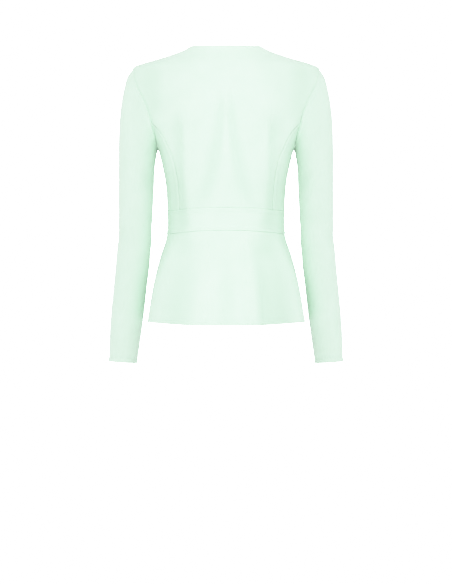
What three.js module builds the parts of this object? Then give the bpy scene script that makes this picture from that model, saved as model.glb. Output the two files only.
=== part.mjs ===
// A collarless peplum blazer for a woman, empty and filled out as it is worn, with its sleeves hanging.
// Units are millimetres. X points to the wearer's left, Y to the back and Z up. The origin is in the
// middle of the neck, level with the points where the shoulder seams start.
//
// Every body piece lies on one smooth figure, as a patch of it between seam lines. A place on the
// figure is { angle, z }: the angle is 0 at the back, a quarter turn at the wearer's left side and a
// half turn at the front. The sleeves are lofted through rings from the armhole to the cuff.

import * as THREE from "three";

// Cloth and seams
const WALL = 2;
const SEAM_GAP = 0.3;
const CLOTH_COLOUR = 0xe2f6e9;
const BUTTON_COLOUR = 0xd4ecde;

// Heights of the seams and edges, by where they are on the figure
const NECK = { back: -2.2, side: 0 };
const SHOULDER_TIP = -41;
const UNDERARM = -216;
const NECK_BREAK = -195;
const BAND_TOP = { back: -338.3, side: -343.5, front: -344 };
const BAND_FOOT = { back: -384.8, side: -391.3, front: -392 };
const HEM = { back: -580, side: -572.5, front: -579 };

// Armhole, seen from the side: how far it reaches to the back and to the front of the shoulder seam,
// how much each side is drawn in towards the shoulder, and where the curved panel seams run into it
const ARMHOLE = { back: 59, front: 62, backDrawIn: 0.13, frontDrawIn: 0.25 };
const PANEL_SEAM_TURN = THREE.MathUtils.degToRad(112.2);

// Front edges: each front runs past the middle, and the wearer's right lies on the left
const FRONT_EDGE = 12;
const NECKLINE_BOW = 0.94;
const LAP = { rise: WALL + 0.9, startsAt: -46, fullAt: -16 };

// The figure, ring by ring from the neck down: half its width, its depth to the back and to the
// front of the shoulder line, and how square the ring is, 2 being an ellipse. Between the shoulder
// tip and the underarm the rings run on outside the armhole, where no cloth is.
const FIGURE = [
  { z: 6, half: 60, back: 46, front: 27, square: 2.2 },
  { z: 0, half: 72.5, back: 49, front: 30, square: 2.2 },
  { z: -8, half: 86, back: 52, front: 33, square: 2.2 },
  { z: -16, half: 106, back: 56, front: 36, square: 2.2 },
  { z: -24.5, half: 131, back: 61, front: 39.5, square: 2.2 },
  { z: -33, half: 161, back: 66, front: 43, square: 2.25 },
  { z: -41, half: 185.5, back: 70, front: 47, square: 2.25 },
  { z: -52, half: 199, back: 74.5, front: 52.5, square: 2.15 },
  { z: -69, half: 212.5, back: 79.5, front: 61, square: 2.1 },
  { z: -88, half: 212, back: 84.5, front: 72, square: 2.2 },
  { z: -110, half: 203, back: 88.5, front: 84, square: 2.3 },
  { z: -134, half: 189.5, back: 91.5, front: 97, square: 2.4 },
  { z: -160, half: 172.3, back: 93, front: 110, square: 2.5 },
  { z: -190, half: 153, back: 93, front: 124, square: 2.65 },
  { z: -216, half: 141, back: 92.5, front: 132, square: 2.8 },
  { z: -250, half: 132.5, back: 91, front: 136.5, square: 2.8 },
  { z: -275, half: 127.3, back: 88, front: 134.5, square: 2.7 },
  { z: -300, half: 124.2, back: 84, front: 127, square: 2.5 },
  { z: -325, half: 122.8, back: 80, front: 116.5, square: 2.4 },
  { z: -350, half: 122, back: 77.5, front: 109, square: 2.3 },
  { z: -390, half: 123, back: 80, front: 105, square: 2.3 },
  { z: -405, half: 126, back: 83.5, front: 106.5, square: 2.3 },
  { z: -424, half: 132.5, back: 89.5, front: 109.5, square: 2.3 },
  { z: -450, half: 140.3, back: 97, front: 114, square: 2.3 },
  { z: -500, half: 151.8, back: 110, front: 121.5, square: 2.3 },
  { z: -545, half: 159.3, back: 118, front: 127, square: 2.3 },
  { z: -575, half: 163.8, back: 123, front: 130, square: 2.3 },
  { z: -590, half: 165.8, back: 125, front: 132, square: 2.3 },
];

// Curved panel seams below the armhole: how far from the middle they run
const BACK_PANEL_SEAM = [
  { z: -343, x: 101 },
  { z: -319, x: 102 },
  { z: -281, x: 104.5 },
  { z: -249, x: 109.5 },
  { z: -224, x: 116 },
  { z: -199, x: 126.3 },
  { z: -177.4, x: 139.5 },
];
const FRONT_PANEL_SEAM = [
  { z: -343, x: 76 },
  { z: -319, x: 78 },
  { z: -281, x: 84 },
  { z: -249, x: 93 },
  { z: -224, x: 105 },
  { z: -199, x: 122 },
  { z: -177.4, x: 142 },
];

// Soft upright folds of the back: the heights of each, its distance from the middle at its top and
// foot, its width there, and how far it rises. Negative rises are hollows. Each line bends away
// from the upright towards its foot.
const BACK_FOLDS = [
  { top: -66, foot: -300, xTop: 0, xFoot: 0, wideTop: 6, wideFoot: 14, rise: 2.2 },
  { top: -70, foot: -376, xTop: 7, xFoot: 62, wideTop: 7, wideFoot: 24, rise: -5 },
  { top: -74, foot: -372, xTop: -7, xFoot: -59, wideTop: 7, wideFoot: 22, rise: -4.8 },
  { top: -96, foot: -420, xTop: 101, xFoot: 97, wideTop: 13, wideFoot: 17, rise: -6.5 },
  { top: -98, foot: -416, xTop: -101, xFoot: -98, wideTop: 13, wideFoot: 17, rise: -6.2 },
  { top: -90, foot: -330, xTop: 76, xFoot: 74, wideTop: 20, wideFoot: 20, rise: 2.5 },
  { top: -94, foot: -334, xTop: -76, xFoot: -74, wideTop: 20, wideFoot: 20, rise: 2.4 },
  { top: -20, foot: -180, xTop: 84, xFoot: 80, wideTop: 32, wideFoot: 32, rise: 5 },
  { top: -20, foot: -184, xTop: -83, xFoot: -80, wideTop: 32, wideFoot: 32, rise: 4.8 },
  { top: -24, foot: -168, xTop: 158, xFoot: 146, wideTop: 26, wideFoot: 22, rise: -4 },
  { top: -24, foot: -172, xTop: -158, xFoot: -145, wideTop: 26, wideFoot: 22, rise: -3.8 },
  { top: -340, foot: -452, xTop: -88, xFoot: -86, wideTop: 20, wideFoot: 20, rise: -4 },
  { top: -340, foot: -448, xTop: 90, xFoot: 88, wideTop: 20, wideFoot: 20, rise: -2.6 },
];

// The share of a fold's length over which each end dies away, and how far round from the wearer's
// sides, as the cosine of the angle, the folds have reached their full rise
const FOLD_FADE = 0.28;
const FOLD_EDGE = 0.32;

// Flutes of the peplum: the angle of each round the figure, how far it has risen at the hem, and
// its width in degrees. Negative rises are hollows.
const FLUTES = [
  { angle: 0, rise: -3, wide: 9 },
  { angle: 19, rise: 3, wide: 8 },
  { angle: -20, rise: 4, wide: 7 },
  { angle: 46, rise: -6, wide: 15 },
  { angle: -39, rise: -10, wide: 8 },
  { angle: -54, rise: -8, wide: 10 },
  { angle: 74, rise: 3.5, wide: 12 },
  { angle: -76, rise: 4, wide: 10 },
  { angle: 96, rise: -4, wide: 12 },
  { angle: -99, rise: -3.5, wide: 12 },
  { angle: 125, rise: 3.5, wide: 11 },
  { angle: -128, rise: 3, wide: 11 },
  { angle: 149, rise: -4, wide: 9 },
  { angle: -152, rise: -3.5, wide: 9 },
];

// How the flutes grow down to the hem: 1 is evenly, and less is faster at first
const FLUTE_GROWTH = 0.6;

// Sleeve rings from the shoulder to the cuff: the outermost point { z, out }, the innermost point
// { inZ, in }, the middle from front to back, and half the depth from front to back
const SLEEVE = [
  { z: -41, out: 185.5, inZ: -216, in: 141, middle: -1, deep: 57 },
  { z: -57, out: 198.5, inZ: -217.6, in: 142, middle: 0, deep: 58 },
  { z: -84, out: 208, inZ: -220.5, in: 142.8, middle: 2, deep: 58 },
  { z: -115, out: 215, inZ: -225.5, in: 143.8, middle: 4, deep: 58 },
  { z: -148, out: 220, inZ: -234, in: 145, middle: 6, deep: 57 },
  { z: -185, out: 222.6, inZ: -247, in: 147, middle: 7, deep: 56 },
  { z: -222, out: 223.4, inZ: -265, in: 148.3, middle: 8, deep: 55 },
  { z: -262, out: 223.4, inZ: -291, in: 149.1, middle: 9, deep: 53 },
  { z: -305, out: 223.3, inZ: -323, in: 150.7, middle: 10, deep: 51 },
  { z: -350, out: 223.3, inZ: -360, in: 152.6, middle: 9, deep: 49 },
  { z: -400, out: 225.2, inZ: -405, in: 154.6, middle: 4, deep: 46.5 },
  { z: -450, out: 229.6, inZ: -453, in: 158.6, middle: -4, deep: 44 },
  { z: -500, out: 234.7, inZ: -502, in: 165, middle: -14, deep: 42 },
  { z: -550, out: 240.2, inZ: -552, in: 170.8, middle: -25, deep: 40.5 },
  { z: -600, out: 244.2, inZ: -603, in: 178, middle: -36, deep: 39 },
  { z: -657, out: 246.6, inZ: -661, in: 186.6, middle: -47, deep: 38 },
];

// The height at which the cap has lost the armhole's shape, and how near the underarm, in radians of
// turn, the sleeve's wall folds down beside the body's
const CAP_FOOT = -222;
const UNDERARM_FOLD = { startsAt: 1.05, fullAt: 0.35 };

// Soft creases of the sleeves: the height of each, its angle round the sleeve in degrees, from 0 at
// the outside to 90 at the back, how far it rises, and its size along and round the sleeve
const SLEEVE_CREASES = [
  { z: -330, turn: 55, rise: 2.5, long: 34, wide: 34 },
  { z: -392, turn: 30, rise: -2.2, long: 20, wide: 40 },
  { z: -428, turn: 62, rise: 1.2, long: 24, wide: 36 },
  { z: -372, turn: -130, rise: -3, long: 12, wide: 40 },
  { z: -402, turn: -118, rise: 2.2, long: 11, wide: 38 },
  { z: -430, turn: -135, rise: -2.4, long: 11, wide: 36 },
  { z: -255, turn: 130, rise: -2, long: 26, wide: 30 },
];

// Buttons, from the top
const BUTTON = { radius: 9, thick: 3.6, edge: 1.2, rim: 1.8, sink: 0.8, standOff: 0.35, sides: 24 };
const BUTTON_HEIGHTS = [-214, -280, -367];

// How finely the pieces are divided
const ROWS = { panelSeam: 10, armhole: 8, frontEdge: 8, band: 4, peplum: 9 };
const COLUMNS = { shoulder: 6, neck: 12, side: 10, front: 10, bandBack: 26, bandFront: 15 };
const SLEEVE_RINGS = [
  -41, -48, -57, -69, -84, -99, -115, -131, -148, -166, -185, -203, -222, -242, -262, -284, -306,
  -328, -350, -370, -390, -410, -430, -452, -480, -510, -545, -580, -620, -657,
];

// Two border edges whose directions have a smaller cosine than this meet at a corner
const CORNER_COSINE = 0.8;

// How often a patch's inner points are evened out, how often the span that holds a point's height is
// halved, and how far below its row's ends a point is looked for
const EVENING_ROUNDS = 30;
const HALVINGS = 40;
const PATCH_SLACK = 12;

const QUARTER = Math.PI / 2;

// Small helpers

const mix = (a, b, share) => a + (b - a) * share;

function ease(from, to, value) {
  const share = THREE.MathUtils.clamp((value - from) / (to - from), 0, 1);
  return share * share * (3 - 2 * share);
}

const bell = (distance) => Math.exp(-distance * distance);

function spread(first, last, steps) {
  return Array.from({ length: steps + 1 }, (_, i) => mix(first, last, i / steps));
}

const count = (many) => Array.from({ length: many }, (_, i) => i);

// The value of one column of a table at a height, along a smooth curve through its rows.
function read(table, column, at, key = "z") {
  const last = table.length - 1;
  const falling = table[0][key] > table[last][key] ? -1 : 1;
  let k = 0;
  while (k < last - 1 && (at - table[k + 1][key]) * falling > 0) k += 1;
  const run = (i) => table[i + 1][key] - table[i][key];
  const slope = (i) => (table[i + 1][column] - table[i][column]) / run(i);
  const tangent = (i) => {
    if (i === 0) return slope(0);
    if (i === last) return slope(last - 1);
    return (slope(i - 1) * run(i) + slope(i) * run(i - 1)) / (run(i - 1) + run(i));
  };
  const s = (at - table[k][key]) / run(k);
  const start = table[k][column];
  const end = table[k + 1][column];
  const bend = run(k) * (s * s * s - 2 * s * s + s) * tangent(k);
  const finish = run(k) * (s * s * s - s * s) * tangent(k + 1);
  return start + (end - start) * s * s * (3 - 2 * s) + bend + finish;
}

// The figure

function ring(z) {
  return {
    half: read(FIGURE, "half", z),
    back: read(FIGURE, "back", z),
    front: read(FIGURE, "front", z),
    square: read(FIGURE, "square", z),
  };
}

// How far the figure reaches from its axis at an angle.
function reach(angle, z) {
  const { half, back, front, square } = ring(z);
  const depth = Math.cos(angle) >= 0 ? back : front;
  const across = (Math.abs(Math.sin(angle)) / half) ** square;
  const along = (Math.abs(Math.cos(angle)) / depth) ** square;
  return (across + along) ** (-1 / square);
}

function wholeAngle(x, y) {
  const angle = Math.atan2(x, y);
  return angle < -QUARTER ? angle + 2 * Math.PI : angle;
}

// The place on the back or front of the figure at a distance x from the middle.
function placeAtX(x, z, side) {
  const { half, back, front, square } = ring(z);
  const share = (1 - (Math.abs(x) / half) ** square) ** (1 / square);
  const y = side === "back" ? back * share : -front * share;
  return { angle: wholeAngle(x, y), z };
}

// The place on the wearer's left of the figure at a depth y.
function placeAtY(y, z) {
  const { half, back, front, square } = ring(z);
  const depth = y >= 0 ? back : front;
  const x = half * (1 - (Math.abs(y) / depth) ** square) ** (1 / square);
  return { angle: wholeAngle(x, y), z };
}

function backFolds(angle, x, z) {
  let rise = 0;
  for (const fold of BACK_FOLDS) {
    const along = (z - fold.top) / (fold.foot - fold.top);
    if (along <= 0 || along >= 1) continue;
    const middle = mix(fold.xTop, fold.xFoot, along * along);
    const wide = mix(fold.wideTop, fold.wideFoot, along);
    const strength = ease(0, FOLD_FADE, along) * ease(1, 1 - FOLD_FADE, along);
    rise += fold.rise * strength * bell((x - middle) / wide);
  }
  return rise * ease(0, FOLD_EDGE, Math.cos(angle));
}

function flutes(angle, z) {
  const fall = (BAND_FOOT.side - z) / (BAND_FOOT.side - HEM.side);
  if (fall <= 0) return 0;
  const degrees = THREE.MathUtils.radToDeg(angle);
  let rise = 0;
  for (const flute of FLUTES) {
    const away = ((degrees - flute.angle + 540) % 360) - 180;
    rise += flute.rise * bell(away / flute.wide);
  }
  return rise * fall ** FLUTE_GROWTH;
}

// A point of the garment's outer face. A lapped piece is lifted over the one under it.
function facePoint({ angle, z }, lapped = false) {
  const base = reach(angle, z);
  const x = base * Math.sin(angle);
  const atBack = Math.cos(angle) > 0;
  let out = base + flutes(angle, z) + backFolds(angle, x, z);
  if (lapped && !atBack) out += LAP.rise * ease(LAP.startsAt, LAP.fullAt, x);
  return new THREE.Vector3(out * Math.sin(angle), out * Math.cos(angle), z);
}

// The outward direction of the outer face, from two short steps along it.
function faceNormal({ angle, z }, lapped = false) {
  const turn = 0.002;
  const lift = 0.2;
  const across = facePoint({ angle: angle + turn, z }, lapped).sub(
    facePoint({ angle: angle - turn, z }, lapped),
  );
  const up = facePoint({ angle, z: z + lift }, lapped).sub(
    facePoint({ angle, z: z - lift }, lapped),
  );
  return up.cross(across).normalize();
}

// Seam lines, as lists of places on the wearer's left half

// The armhole, by its turn from the shoulder tip at 0, down the back to the underarm at a half turn.
function armholePlace(turn) {
  const middle = (SHOULDER_TIP + UNDERARM) / 2;
  const z = middle + ((SHOULDER_TIP - UNDERARM) / 2) * Math.cos(turn);
  const high = (1 + Math.cos(turn)) / 2;
  const side = Math.sin(turn);
  const y =
    side >= 0
      ? ARMHOLE.back * side * (1 - ARMHOLE.backDrawIn * high)
      : ARMHOLE.front * side * (1 - ARMHOLE.frontDrawIn * high * high);
  return placeAtY(y, z);
}

// A height that changes smoothly from its value at the back to those at the sides and the front.
function levelAt(level, angle) {
  const share = 1 - Math.sin(angle) ** 4;
  return mix(level.side, Math.cos(angle) >= 0 ? level.back : level.front, share);
}

const backTurns = spread(PANEL_SEAM_TURN, 0, ROWS.armhole);
const sideTurns = spread(PANEL_SEAM_TURN, 2 * Math.PI - PANEL_SEAM_TURN, COLUMNS.side);
const frontTurns = spread(2 * Math.PI - PANEL_SEAM_TURN, 2 * Math.PI, ROWS.armhole);

// A curved panel seam from the waist up to the armhole.
function panelSeam(table, side, turn) {
  const top = armholePlace(turn);
  const topX = facePoint(top).x;
  const rows = [...table, { z: top.z, x: topX }];
  const foot = placeAtX(table[0].x, table[0].z, side);
  const footZ = levelAt(BAND_TOP, foot.angle);
  const seam = spread(footZ, top.z, ROWS.panelSeam).map((z) =>
    placeAtX(read(rows, "x", z), z, side),
  );
  seam[seam.length - 1] = top;
  return seam;
}

const backPanelSeam = panelSeam(BACK_PANEL_SEAM, "back", PANEL_SEAM_TURN);
const frontPanelSeam = panelSeam(FRONT_PANEL_SEAM, "front", 2 * Math.PI - PANEL_SEAM_TURN);
const backSide = [...backPanelSeam, ...backTurns.slice(1).map(armholePlace)];
const frontSide = [...frontPanelSeam, ...frontTurns.slice(1).map(armholePlace)];

const shoulderSeam = spread(SHOULDER_TIP, NECK.side, COLUMNS.shoulder).map((z) => ({
  angle: QUARTER,
  z,
}));

function waistSeam(from, to, steps) {
  return spread(from.angle, to.angle, steps).map((angle) => ({
    angle,
    z: levelAt(BAND_TOP, angle),
  }));
}

const mirrored = (place) => ({ angle: -place.angle, z: place.z });

// The edge of the left front: up from the waist to the break, then along the neckline to the shoulder.
function frontEdge() {
  const edge = spread(BAND_TOP.front, NECK_BREAK, ROWS.frontEdge).map((z) =>
    placeAtX(-FRONT_EDGE, z, "front"),
  );
  const neckRows = ROWS.panelSeam + ROWS.armhole - ROWS.frontEdge;
  const neckHalf = read(FIGURE, "half", NECK.side);
  const neckline = spread(NECK_BREAK, NECK.side, neckRows).map((z) => {
    const down = (NECK.side - z) / (NECK.side - NECK_BREAK);
    return placeAtX(mix(neckHalf, -FRONT_EDGE, down ** NECKLINE_BOW), z, "front");
  });
  neckline[neckline.length - 1] = { angle: QUARTER, z: NECK.side };
  return [...edge, ...neckline.slice(1)];
}

// Patches

// A place as a cutter sees it on the flat cloth of the back or a front: its distance x from the
// middle, and how far it lies down the cloth from the neck, over the shoulder and down the body.
function flatPlace(place) {
  const base = reach(place.angle, place.z);
  const depth = Math.abs(base * Math.cos(place.angle));
  return { ...place, x: base * Math.sin(place.angle), fall: depth - place.z };
}

// The place on the figure with a flat place's x and fall, found by halving a span of heights.
function placeFromFlat({ x, fall }, side, lowest) {
  let high = FIGURE[0].z;
  let low = lowest;
  for (let step = 0; step < HALVINGS; step += 1) {
    const z = (high + low) / 2;
    const { half, back, front, square } = ring(z);
    const share = Math.max(0, 1 - (Math.abs(x) / half) ** square) ** (1 / square);
    const depth = (side === "back" ? back : front) * share;
    if (depth - z < fall) high = z;
    else low = z;
  }
  return placeAtX(x, (high + low) / 2, side);
}

// A grid between four seam lines, each point blended from the points across from it on all four.
// Rows run from the bottom line to the top one, columns from the left line to the right.
function blendGrid(bottom, top, left, right, keys) {
  const rows = left.length - 1;
  const columns = bottom.length - 1;
  const point = (i, j) => {
    const t = i / rows;
    const u = j / columns;
    const blend = (key) =>
      mix(bottom[j][key], top[j][key], t) +
      mix(left[i][key], right[i][key], u) -
      mix(mix(bottom[0][key], bottom[columns][key], u), mix(top[0][key], top[columns][key], u), t);
    return Object.fromEntries(keys.map((key) => [key, blend(key)]));
  };
  return count(rows + 1).map((i) => count(columns + 1).map((j) => point(i, j)));
}

// The same grid with its inner points evened out: each moves to the middle of its four neighbours.
function evenedOut(grid, keys) {
  let points = grid;
  for (let round = 0; round < EVENING_ROUNDS; round += 1) {
    points = points.map((row, i) =>
      row.map((point, j) => {
        if (i === 0 || j === 0 || i === grid.length - 1 || j === row.length - 1) return point;
        const near = [points[i - 1][j], points[i + 1][j], row[j - 1], row[j + 1]];
        const middle = (key) => near.reduce((sum, other) => sum + other[key], 0) / near.length;
        return Object.fromEntries(keys.map((key) => [key, middle(key)]));
      }),
    );
  }
  return points;
}

// A patch that wraps round the wearer's side.
const sidePatch = (...seams) => blendGrid(...seams, ["angle", "z"]);

// A patch of the back or of a front, laid out on the flat cloth.
function flatPatch(bottom, top, left, right, side) {
  const seams = [bottom, top, left, right].map((seam) => seam.map(flatPlace));
  const rows = left.length - 1;
  const columns = bottom.length - 1;
  const flatGrid = evenedOut(blendGrid(...seams, ["x", "fall"]), ["x", "fall"]);
  return flatGrid.map((row, i) =>
    row.map((flat, j) => {
      if (i === 0) return bottom[j];
      if (i === rows) return top[j];
      if (j === 0) return left[i];
      if (j === columns) return right[i];
      return placeFromFlat(flat, side, Math.min(left[i].z, right[i].z) - PATCH_SLACK);
    }),
  );
}

// A grid between two level lines and two upright ones, given as functions.
function strip(low, high, fromAngle, toAngle, rows, columns) {
  return spread(0, 1, rows).map((t) =>
    spread(0, 1, columns).map((u) => {
      const rough = mix(low.side, high.side, t);
      const angle = mix(fromAngle(rough), toAngle(rough), u);
      return { angle, z: mix(levelAt(low, angle), levelAt(high, angle), t) };
    }),
  );
}

// The same grid on the wearer's right, with its columns turned round so that they run the same way.
const otherSide = (grid) => grid.map((row) => row.map(mirrored).reverse());

// Walls

// The border of a grid, walked anticlockwise as seen from outside, as [row, column] pairs.
function border(rows, columns) {
  const left = count(rows).map((i) => [i, 0]);
  const top = count(columns).map((j) => [rows, j]);
  const right = count(rows).map((i) => [rows - i, columns]);
  const bottom = count(columns).map((j) => [0, columns - j]);
  return [...left, ...top, ...right, ...bottom];
}

// How far each border point moves into its own piece, so that neighbours stand a seam gap apart.
function borderInsets(points, normals) {
  const loop = border(points.length - 1, points[0].length - 1);
  const at = (k) => loop[(k + loop.length) % loop.length];
  const point = (k) => points[at(k)[0]][at(k)[1]];
  const insets = new Map();
  loop.forEach(([i, j], k) => {
    const normal = normals[i][j];
    const before = new THREE.Vector3().subVectors(point(k), point(k - 1)).normalize();
    const after = new THREE.Vector3().subVectors(point(k + 1), point(k)).normalize();
    const inward = new THREE.Vector3()
      .crossVectors(normal, before)
      .add(new THREE.Vector3().crossVectors(normal, after));
    const corner = before.dot(after) < CORNER_COSINE;
    inward.normalize().multiplyScalar((SEAM_GAP / 2) * (corner ? Math.SQRT2 : 1));
    insets.set(`${i},${j}`, inward);
  });
  return insets;
}

// A closed wall from two grids of points, the outer face and the inner face.
function wallGeometry(outer, inner, round) {
  const rows = outer.length;
  const columns = outer[0].length;
  const innerStart = rows * columns;
  const id = (i, j) => i * columns + (j % columns);
  const index = [];
  const points = [...outer.flat(), ...inner.flat()];
  const quad = (a, b, c, d) => {
    const acrossIsShort = points[a].distanceTo(points[c]) <= points[b].distanceTo(points[d]);
    if (acrossIsShort) index.push(a, b, c, a, c, d);
    else index.push(a, b, d, b, c, d);
  };
  const lastColumn = round ? columns : columns - 1;
  for (let i = 0; i < rows - 1; i += 1) {
    for (let j = 0; j < lastColumn; j += 1) {
      const a = id(i, j);
      const b = id(i + 1, j);
      const c = id(i + 1, j + 1);
      const d = id(i, j + 1);
      quad(a, b, c, d);
      quad(innerStart + a, innerStart + d, innerStart + c, innerStart + b);
    }
  }
  const close = (a, b) => quad(b, a, innerStart + a, innerStart + b);
  if (round) {
    for (let j = 0; j < columns; j += 1) {
      close(id(rows - 1, j), id(rows - 1, j + 1));
      close(id(0, j + 1), id(0, j));
    }
  } else {
    const loop = border(rows - 1, columns - 1);
    loop.forEach(([i, j], k) => {
      const [nextI, nextJ] = loop[(k + 1) % loop.length];
      close(id(i, j), id(nextI, nextJ));
    });
  }
  const geometry = new THREE.BufferGeometry().setFromPoints(points);
  geometry.setIndex(index);
  return geometry;
}

const offsetInward = (point, normal) => point.clone().addScaledVector(normal, -WALL);

// One cut piece of the body: its grid of places made a wall, set back from its neighbours.
function panelGeometry(grid, lapped = false) {
  const outer = grid.map((row) => row.map((place) => facePoint(place, lapped)));
  const normals = grid.map((row) => row.map((place) => faceNormal(place, lapped)));
  const inner = outer.map((row, i) => row.map((point, j) => offsetInward(point, normals[i][j])));
  for (const [key, inset] of borderInsets(outer, normals)) {
    const [i, j] = key.split(",").map(Number);
    outer[i][j].add(inset);
    inner[i][j].add(inset);
  }
  return wallGeometry(outer, inner, false);
}

// Body pieces

function backGrid() {
  const neckline = spread(QUARTER, -QUARTER, COLUMNS.neck).map((angle) => ({
    angle,
    z: levelAt(NECK, angle),
  }));
  const rightHalf = shoulderSeam.map(mirrored);
  const leftHalf = [...shoulderSeam].reverse();
  const top = [...rightHalf, ...neckline.reverse().slice(1, -1), ...leftHalf];
  const left = backSide.map(mirrored);
  const bottom = waistSeam(left[0], backSide[0], top.length - 1);
  return flatPatch(bottom, top, left, backSide, "back");
}

function sideGrid() {
  const bottom = waistSeam(backPanelSeam[0], frontPanelSeam[0], COLUMNS.side);
  return sidePatch(bottom, sideTurns.map(armholePlace), backPanelSeam, frontPanelSeam);
}

function frontGrid() {
  const edge = frontEdge();
  const top = spread(SHOULDER_TIP, NECK.side, COLUMNS.front).map((z) => ({ angle: QUARTER, z }));
  const bottom = waistSeam(frontSide[0], edge[0], COLUMNS.front);
  return flatPatch(bottom, top, frontSide, edge, "front");
}

const leftSide = () => QUARTER;
const rightSide = () => -QUARTER;
const edgeAngle = (z) => placeAtX(-FRONT_EDGE, z, "front").angle;

const bandBackGrid = () =>
  strip(BAND_FOOT, BAND_TOP, rightSide, leftSide, ROWS.band, COLUMNS.bandBack);
const bandFrontGrid = () =>
  strip(BAND_FOOT, BAND_TOP, leftSide, edgeAngle, ROWS.band, COLUMNS.bandFront);
const peplumBackGrid = () =>
  strip(HEM, BAND_FOOT, rightSide, leftSide, ROWS.peplum, COLUMNS.bandBack);
const peplumFrontGrid = () =>
  strip(HEM, BAND_FOOT, leftSide, edgeAngle, ROWS.peplum, COLUMNS.bandFront);

// Sleeves

// A point of the left sleeve's rings, before it is drawn to the armhole.
function ringPoint(z, turn) {
  const row = (column) => read(SLEEVE, column, z);
  const outermost = new THREE.Vector3(row("out"), 0, z);
  const innermost = new THREE.Vector3(row("in"), 0, row("inZ"));
  const point = outermost.clone().lerp(innermost, (1 - Math.cos(turn)) / 2);
  point.y = row("middle") + row("deep") * Math.sin(turn);
  return point;
}

function creases(z, turn) {
  let rise = 0;
  for (const crease of SLEEVE_CREASES) {
    const away = ((THREE.MathUtils.radToDeg(turn) - crease.turn + 540) % 360) - 180;
    rise += crease.rise * bell((z - crease.z) / crease.long) * bell(away / crease.wide);
  }
  return rise;
}

// A point of the left sleeve's outer face: its ring, drawn over the cap to meet the armhole.
function sleevePoint(z, turn) {
  const point = ringPoint(z, turn);
  const drawn = ease(CAP_FOOT, SHOULDER_TIP, z);
  if (drawn > 0) {
    const seam = facePoint(armholePlace(turn));
    point.addScaledVector(seam.sub(ringPoint(SHOULDER_TIP, turn)), drawn);
  }
  const spine = ringPoint(z, 0).lerp(ringPoint(z, Math.PI), 0.5);
  spine.y = read(SLEEVE, "middle", z);
  const outward = new THREE.Vector3().subVectors(point, spine).setZ(0).normalize();
  return point.addScaledVector(outward, creases(z, turn));
}

function sleeveNormal(z, turn) {
  const twist = 0.01;
  const step = 0.4;
  const top = Math.min(z + step, SHOULDER_TIP);
  const across = sleevePoint(z, turn - twist).sub(sleevePoint(z, turn + twist));
  const up = sleevePoint(top, turn).sub(sleevePoint(z - step, turn));
  return up.cross(across).normalize();
}

// At the armhole the sleeve's wall ends square to the body's, but for the underarm, where it folds
// down and ends square to itself.
function sleeveEndNormal(turn) {
  const fromUnderarm = Math.abs(turn - Math.PI);
  const own = ease(UNDERARM_FOLD.startsAt, UNDERARM_FOLD.fullAt, fromUnderarm);
  const body = faceNormal(armholePlace(turn)).multiplyScalar(1 - own);
  return body.addScaledVector(sleeveNormal(SHOULDER_TIP, turn), own).normalize();
}

function sleeveGeometry(onRight) {
  const turns = [...frontTurns].reverse().slice(0, -1);
  turns.push(...[...sideTurns].reverse().slice(0, -1), ...backTurns.slice(0, -1));
  const heights = [...SLEEVE_RINGS].reverse();
  const outer = heights.map((z) => turns.map((turn) => sleevePoint(z, turn)));
  const top = outer[outer.length - 1];
  const inner = outer.map((row, i) =>
    row.map((point, j) => {
      const atSeam = heights[i] === SHOULDER_TIP;
      const normal = atSeam ? sleeveEndNormal(turns[j]) : sleeveNormal(heights[i], turns[j]);
      return offsetInward(point, normal);
    }),
  );
  const away = top.map((_, j) => {
    const before = top[(j + top.length - 1) % top.length];
    const after = top[(j + 1) % top.length];
    const along = new THREE.Vector3().subVectors(after, before);
    const normal = faceNormal(armholePlace(turns[j]));
    return normal.cross(along).normalize().multiplyScalar(SEAM_GAP / 2);
  });
  away.forEach((shift, j) => {
    top[j].add(shift);
    inner[inner.length - 1][j].add(shift);
  });
  if (!onRight) return wallGeometry(outer, inner, true);
  const flip = (grid) => grid.map((row) => row.map((p) => p.clone().setX(-p.x)).reverse());
  return wallGeometry(flip(outer), flip(inner), true);
}

// Buttons: a round disc with a softened edge and a sunk middle, on the lapped front.
function buttonGeometry() {
  const { radius, thick, edge, rim, sink, sides } = BUTTON;
  const inside = radius - edge - rim;
  const profile = [
    [0, 0],
    [radius - edge, 0],
    [radius, edge],
    [radius, thick - edge],
    [radius - edge, thick],
    [inside, thick],
    [inside - edge, thick - sink],
    [0, thick - sink],
  ].map(([x, y]) => new THREE.Vector2(x, y));
  return new THREE.LatheGeometry(profile, sides);
}

// The garment

const cloth = new THREE.MeshStandardMaterial({ color: CLOTH_COLOUR, roughness: 0.9, metalness: 0 });
const buttonFinish = new THREE.MeshStandardMaterial({
  color: BUTTON_COLOUR,
  roughness: 0.45,
  metalness: 0,
});

const blazer = new THREE.Group();

function addPiece(name, geometry, material = cloth) {
  const piece = new THREE.Mesh(geometry, material);
  piece.name = name;
  blazer.add(piece);
  return piece;
}

addPiece("back", panelGeometry(backGrid()));
addPiece("side_left", panelGeometry(sideGrid()));
addPiece("side_right", panelGeometry(otherSide(sideGrid())));
addPiece("front_left", panelGeometry(frontGrid()));
addPiece("front_right", panelGeometry(otherSide(frontGrid()), true));
addPiece("waistband_back", panelGeometry(bandBackGrid()));
addPiece("waistband_left", panelGeometry(bandFrontGrid()));
addPiece("waistband_right", panelGeometry(otherSide(bandFrontGrid()), true));
addPiece("peplum_back", panelGeometry(peplumBackGrid()));
addPiece("peplum_left", panelGeometry(peplumFrontGrid()));
addPiece("peplum_right", panelGeometry(otherSide(peplumFrontGrid()), true));
addPiece("sleeve_left", sleeveGeometry(false));
addPiece("sleeve_right", sleeveGeometry(true));

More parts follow.
